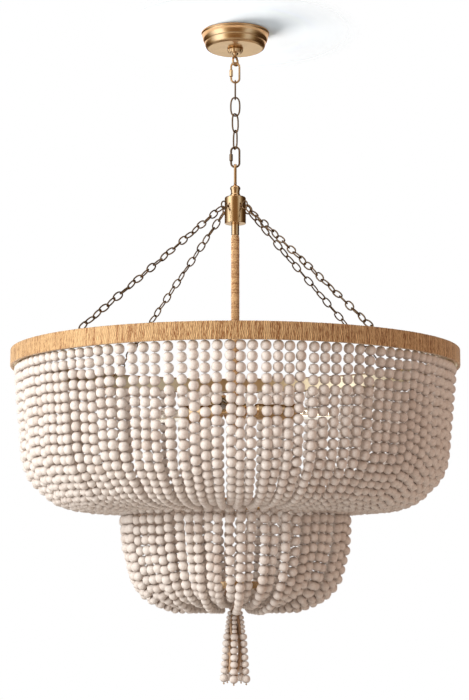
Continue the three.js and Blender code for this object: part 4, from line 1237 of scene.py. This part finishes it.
class CHANDELIER_OT_tassel(bpy.types.Operator):
    """Beaded tassel below the gathering ring"""

    bl_idname = "chandelier.tassel"
    bl_label = "Tassel"

    def execute(self, context):
        random = np.random.default_rng(31)
        low_knot = TASSEL_KNOT - TASSEL_CORD_LENGTH
        cord = np.linspace((0, 0, TASSEL_KNOT), (0, 0, low_knot), 8)
        threads = [self.knot(4.3 * MM, (0, 0, TASSEL_KNOT)), self.knot(4.4 * MM, (0, 0, low_knot)),
                   bent(cord, 1.5 * MM, 12, False)]
        centres, bases, scales = [], [], []
        counts = [count for count, _, _ in TASSEL_RUNS]
        radii = np.repeat([radius for _, radius, _ in TASSEL_RUNS], counts)
        pitches = np.repeat([pitch for _, _, pitch in TASSEL_RUNS], counts)
        for angle in np.radians(TASSEL_ANGLES):
            own = 1 - abs(random.normal(0, 0.012))
            fall = TASSEL_FAN + (np.cumsum(pitches) - pitches / 2) * own
            path = np.concatenate([[0, 0.5 * TASSEL_FAN], fall, [fall[-1] + 0.5 * pitches[-1] + TASSEL_TAIL]])
            spread = self.spread(path) * (1 + random.normal(0, 0.03))
            spread[:2] = 2 * MM, 6 * MM
            sway = angle + random.normal(0, 0.04) * np.sin(math.pi * path / path[-1])
            points, side = self.line(spread, sway, low_knot - path, angle)
            threads.append(wire(points, side, 1.1 * MM))
            threads.append(self.knot(1.7 * MM, points[-1]))
            along = np.gradient(points, axis=0)[2:-1]
            along /= np.linalg.norm(along, axis=1)[:, None]
            facing = np.cross(along, side[2:-1])
            facing /= np.linalg.norm(facing, axis=1)[:, None]
            centres.append(points[2:-1])
            bases.append(np.stack([np.cross(facing, along), facing, along], axis=-1))
            wide = radii * (1.08 + random.normal(0, 0.02, len(radii)))
            scales.append(np.stack([wide, wide, pitches / 2 * own], axis=1))
        # Brown cords inside the tassel, drawn thick so that they also stand in as painted shade between its
        # strands.
        for angle in np.radians(TASSEL_CORD_AND_SHADE_ANGLES):
            path = np.linspace(0, sum(pitches) - random.uniform(2, 16) * MM, 24)
            turn = angle + 0.5 * np.sin(path / (26 * MM) + angle)
            reach = 1.5 * MM + 0.62 * self.spread(path) * eased(path / (30 * MM))
            threads.append(wire(*self.line(reach, turn, low_knot - path, angle), 3.8 * MM))
        centres = np.concatenate(centres)
        beads, marks = beads_at(centres, np.concatenate(bases), np.concatenate(scales),
                                random.uniform(0.3, 1.0, len(centres)))
        add_piece("tassel_beads", beads, "bead", "tassel", "tassel", marks=marks, weld=False)
        add_piece("tassel_threads", joined(threads), "thread", body="tassel")
        return {"FINISHED"}

    def line(self, reach, turn, height, angle):
        """Points at a reach and turn about the axis, and the sideways direction at the angle for each."""
        points = np.stack([reach * np.cos(turn), reach * np.sin(turn), height], axis=1)
        return points, np.broadcast_to([-math.sin(angle), math.cos(angle), 0], points.shape)

    def knot(self, radius, place):
        """A pear-shaped knot, turned from a profile in shares of its radius."""
        points, quads = turned(KNOT_SHARES, 20, False)
        return shifted((points * radius, quads), *place)

    def spread(self, fall):
        """Distance from the axis: top spread to bottom spread, by the square root of the way down."""
        share = np.sqrt(np.clip((fall - TASSEL_FAN) / TASSEL_LENGTH, 0, 1))
        return TASSEL_TOP_SPREAD + (TASSEL_BOTTOM_SPREAD - TASSEL_TOP_SPREAD) * share


# Lamp cluster

class CHANDELIER_OT_lamps(bpy.types.Operator):
    """Lamp body, finial, lampholders and bulbs"""

    bl_idname = "chandelier.lamps"
    bl_label = "Lamps"

    def execute(self, context):
        self.body()
        for i, angle in enumerate(SOCKET_ANGLES, 1):
            self.lamp(i, math.radians(angle))
        return {"FINISHED"}

    def body(self):
        """A barrel-shaped body round the stem's end, and a turned finial below it."""
        bottom, top = low("lamp_body", 2), high("lamp_body", 2)
        height = top - bottom
        radius = 23.4 * MM
        hole = 6.5 * MM
        outline = [(out * radius, bottom + up * height) for out, up in LAMP_BODY_SHARES]
        corners = [(hole, bottom), *outline, (hole, top)]
        add_piece("lamp_body_brass", lathed(corners, 3 * MM, 96, arc=6), "satin", "lamp_body")
        top, bottom = bottom - 0.3 * MM, low("stem_finial", 2)
        height = top - bottom
        plug_top = high("stem_finial", 2)
        plug_radius = 3.7 * MM
        outline = [(out * 10 * MM, top - down * height) for out, down in FINIAL_SHARES]
        corners = [(0, plug_top), (plug_radius, plug_top), (plug_radius, top), *outline]
        add_piece("finial_brass", lathed(corners, 1.6 * MM, 64, False, 6), "satin", "stem_finial")

    def lamp(self, i, angle):
        """A lampholder and its bulb, turned about the arm's axis."""
        z = middle("lamp_body", 2)
        start = SOCKET_START
        mouth = start + SOCKET_LENGTH
        radius, rim = 16.5 * MM, 18.8 * MM
        floor = mouth - SOCKET_DEPTH
        bore = radius - 2.6 * MM
        corners = [(0, start), (6 * MM, start), (6 * MM, start + 14 * MM), (radius, start + 22 * MM),
                   (radius, mouth - 6 * MM), (rim, mouth - 6 * MM), (rim, mouth), (bore, mouth),
                   (bore, floor), (0, floor)]
        socket = lathed(corners, 1.2 * MM, 64, False)
        add_piece(f"lampholder_{i}", shifted(spun(laid(socket), angle), 0, 0, z), "satin", f"lamp_socket_{i}")
        foot = floor + 0.4 * MM
        base = bore - 0.4 * MM
        glass = 12.6 * MM
        end = foot + BULB_LENGTH
        crown = 14 * MM
        turns = np.linspace(0, QUARTER, 9)
        dome = [(glass * math.cos(t), end - crown + crown * math.sin(t)) for t in turns]
        dome[-1] = (0, end)
        outline = [(0, foot), (base, foot), (base, mouth), (glass, mouth + 4 * MM), *dome]
        bulb = lathed(outline, 0.8 * MM, 56, False, 3)
        add_piece(f"bulb_glass_{i}", shifted(spun(laid(bulb), angle), 0, 0, z), "glass", f"bulb_{i}")


# Stage

class CHANDELIER_OT_stage(bpy.types.Operator):
    """Camera, lamps, background, ceiling patch and floor"""

    bl_idname = "chandelier.stage"
    bl_label = "Stage"

    def execute(self, context):
        settings = context.scene.chandelier_stage
        self.camera(context.scene)
        for name, (place, size, colour) in BROAD_LAMPS.items():
            data = bpy.data.lights.new(name, "AREA")
            data.shape = "RECTANGLE"
            data.size, data.size_y = size
            self.place(name, data, place, LAMP_AIM, getattr(settings, f"{name}_power"), colour)
        data = bpy.data.lights.new("rake", "SPOT")
        data.spot_size = RAKE_BEAM
        data.spot_blend = RAKE_BLEND
        data.shadow_soft_size = RAKE_SIZE
        self.place("rake", data, RAKE_PLACE, RAKE_AIM, settings.rake_power, AMBIENT_TINT)
        self.world(context.scene, tuple(settings.ambient))
        self.ceiling()
        self.floor()
        context.scene.view_settings.view_transform = "Standard"
        return {"FINISHED"}

    def camera(self, scene):
        """The camera where the photographer stood, a little below the rim and looking up."""
        data = bpy.data.cameras.new("camera")
        data.lens = CAMERA_LENS
        data.sensor_width = 36
        data.clip_end = 60
        camera = bpy.data.objects.new("camera", data)
        camera.location = (CAMERA_SIDE, -CAMERA_DISTANCE, CAMERA_HEIGHT)
        camera.rotation_euler = (QUARTER + CAMERA_PITCH, 0, 0)
        scene.collection.objects.link(camera)
        scene.camera = camera

    def place(self, name, data, place, aim, power, colour):
        """Puts a lamp somewhere and turns it to its aim, by the azimuth and elevation of the way there."""
        data.energy = power
        data.color = colour
        lamp = bpy.data.objects.new(name, data)
        lamp.location = place
        way = np.array(aim, float) - np.array(place, float)
        lamp.rotation_euler = (QUARTER + math.atan2(way[2], math.hypot(way[0], way[1])), 0,
                               math.atan2(way[1], way[0]) - QUARTER)
        lamp.visible_glossy = False
        lamp.visible_camera = False
        bpy.context.scene.collection.objects.link(lamp)

    def world(self, scene, ambient):
        """White for the camera and through glass. Metal sees a studio with two pale windows and brown sides,
        and a pale floor behind and below."""
        world = bpy.data.worlds.new("studio")
        world.use_nodes = True
        tree = world.node_tree
        scene.world = world
        background = tree.nodes["Background"]
        rays = tree.nodes.new("ShaderNodeLightPath")
        place = tree.nodes.new("ShaderNodeTexCoord")
        split = tree.nodes.new("ShaderNodeSeparateXYZ")
        tree.links.new(place.outputs["Generated"], split.inputs[0])
        azimuth = math_node(tree, "ARCTAN2", split.outputs["X"], split.outputs["Y"])
        share = math_node(tree, "ADD", math_node(tree, "DIVIDE", azimuth, FULL), 0.5)
        stops = [(at, tuple(level * c for c in STUDIO_TINTS[tint])) for at, level, tint in STUDIO_LEVELS]
        below = tree.nodes.new("ShaderNodeMapRange")
        below.inputs["From Min"].default_value = -0.05
        below.inputs["From Max"].default_value = -0.2
        tree.links.new(split.outputs["Z"], below.inputs["Value"])
        behind = ramp(tree, share, tuple(zip(STUDIO_FLOOR_SHARES, (BLACK, WHITE, WHITE, BLACK))))
        sweep = math_node(tree, "MULTIPLY", below.outputs[0], behind)
        around = mixed(tree, sweep, ramp(tree, share, stops), STUDIO_FLOOR)
        glossy = mixed(tree, rays.outputs["Is Glossy Ray"], ambient, around)
        seen = math_node(tree, "MAXIMUM", rays.outputs["Is Camera Ray"], rays.outputs["Is Transmission Ray"])
        tree.links.new(mixed(tree, seen, glossy, WHITE), background.inputs["Color"])
        background.inputs["Strength"].default_value = 1

    def sheet(self, name, level, radius, faces_down, lit, seen, clear_share):
        """A round flat sheet: lit has the colour it is lit with and seen the one for the camera. Its back and
        the share that is clear don't show."""
        steps = 96
        a = np.arange(steps) * FULL / steps
        ring = np.stack([radius * np.cos(a), radius * np.sin(a), np.full(steps, level)], axis=1)
        mesh = bpy.data.meshes.new(name)
        order = list(range(steps))
        mesh.from_pydata(ring, [], [order[::-1] if faces_down else order])
        material = bpy.data.materials.new(name)
        material.use_nodes = True
        mesh.materials.append(material)
        sheet = bpy.data.objects.new(name, mesh)
        bpy.context.scene.collection.objects.link(sheet)
        tree = material.node_tree
        tree.nodes.remove(tree.nodes["Principled BSDF"])
        diffuse = tree.nodes.new("ShaderNodeBsdfDiffuse")
        rays = tree.nodes.new("ShaderNodeLightPath")
        plug(tree, mixed(tree, rays.outputs["Is Camera Ray"], lit, seen), diffuse.inputs["Color"])
        side = tree.nodes.new("ShaderNodeNewGeometry")
        clear = tree.nodes.new("ShaderNodeBsdfTransparent")
        choice = tree.nodes.new("ShaderNodeMixShader")
        hidden = math_node(tree, "MAXIMUM", side.outputs["Backfacing"], clear_share(tree))
        for value, socket in zip((hidden, diffuse.outputs[0], clear.outputs[0]), choice.inputs):
            tree.links.new(value, socket)
        tree.links.new(choice.outputs[0], tree.nodes["Material Output"].inputs["Surface"])

    def ceiling(self):
        """A patch of ceiling that fades out with the distance from the axis. The camera sees it brighter than
        it is, so that it is white but for the canopy's shadow."""
        neutral = tuple(CEILING_SEEN / tint for tint in AMBIENT_TINT)

        def faded(tree):
            """How clear the patch is: 0 up to the fade's start and 1 from its end."""
            place = tree.nodes.new("ShaderNodeTexCoord")
            length = tree.nodes.new("ShaderNodeVectorMath")
            length.operation = "LENGTH"
            tree.links.new(place.outputs["Object"], length.inputs[0])
            return ramp(tree, length.outputs["Value"], tuple(zip(CEILING_FADE, (BLACK, WHITE))))

        self.sheet("ceiling", 1.2 * MM, CEILING_RADIUS, True, grey(0.8), neutral, faded)

    def floor(self):
        """A pale floor that only shows from above."""
        self.sheet("floor", FLOOR_LEVEL, FLOOR_RADIUS, False, (0.6, 0.58, 0.55), grey(1.6), lambda tree: 0.0)


PIECES = (
    "stage", "canopy", "main_chain", "hub", "stem", "rim", "rim_chains", "upper_strands", "lower_strands",
    "tassel", "lamps",
)


class CHANDELIER_PT_pieces(bpy.types.Panel):
    """Buttons for the pieces and the stage"""

    bl_idname = "CHANDELIER_PT_pieces"
    bl_label = "Chandelier"
    bl_space_type = "VIEW_3D"
    bl_region_type = "UI"
    bl_category = "Chandelier"

    def draw(self, context):
        for piece in PIECES:
            self.layout.operator(f"chandelier.{piece}")
        for name, group in GROUPS:
            for setting in group.__annotations__:
                self.layout.prop(getattr(context.scene, name), setting)


GROUPS = (
    ("chandelier_beads", BeadSettings),
    ("chandelier_metal", MetalSettings),
    ("chandelier_fibre", FibreSettings),
    ("chandelier_stage", StageSettings),
)
OPERATORS = (
    CHANDELIER_OT_stage,
    CHANDELIER_OT_canopy,
    CHANDELIER_OT_main_chain,
    CHANDELIER_OT_hub,
    CHANDELIER_OT_stem,
    CHANDELIER_OT_rim,
    CHANDELIER_OT_rim_chains,
    CHANDELIER_OT_upper_strands,
    CHANDELIER_OT_lower_strands,
    CHANDELIER_OT_tassel,
    CHANDELIER_OT_lamps,
    CHANDELIER_PT_pieces,
)


def register():
    """Registers the settings, operators and panel."""
    for name, group in GROUPS:
        bpy.utils.register_class(group)
        setattr(bpy.types.Scene, name, bpy.props.PointerProperty(type=group))
    for cls in OPERATORS:
        bpy.utils.register_class(cls)


def unregister():
    """Removes what register added."""
    for cls in reversed(OPERATORS):
        bpy.utils.unregister_class(cls)
    for name, group in reversed(GROUPS):
        delattr(bpy.types.Scene, name)
        bpy.utils.unregister_class(group)


def main():
    """Registers the add-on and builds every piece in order."""
    register()
    for piece in PIECES:
        getattr(bpy.ops.chandelier, piece)()


if __name__ == "__main__":
    main()
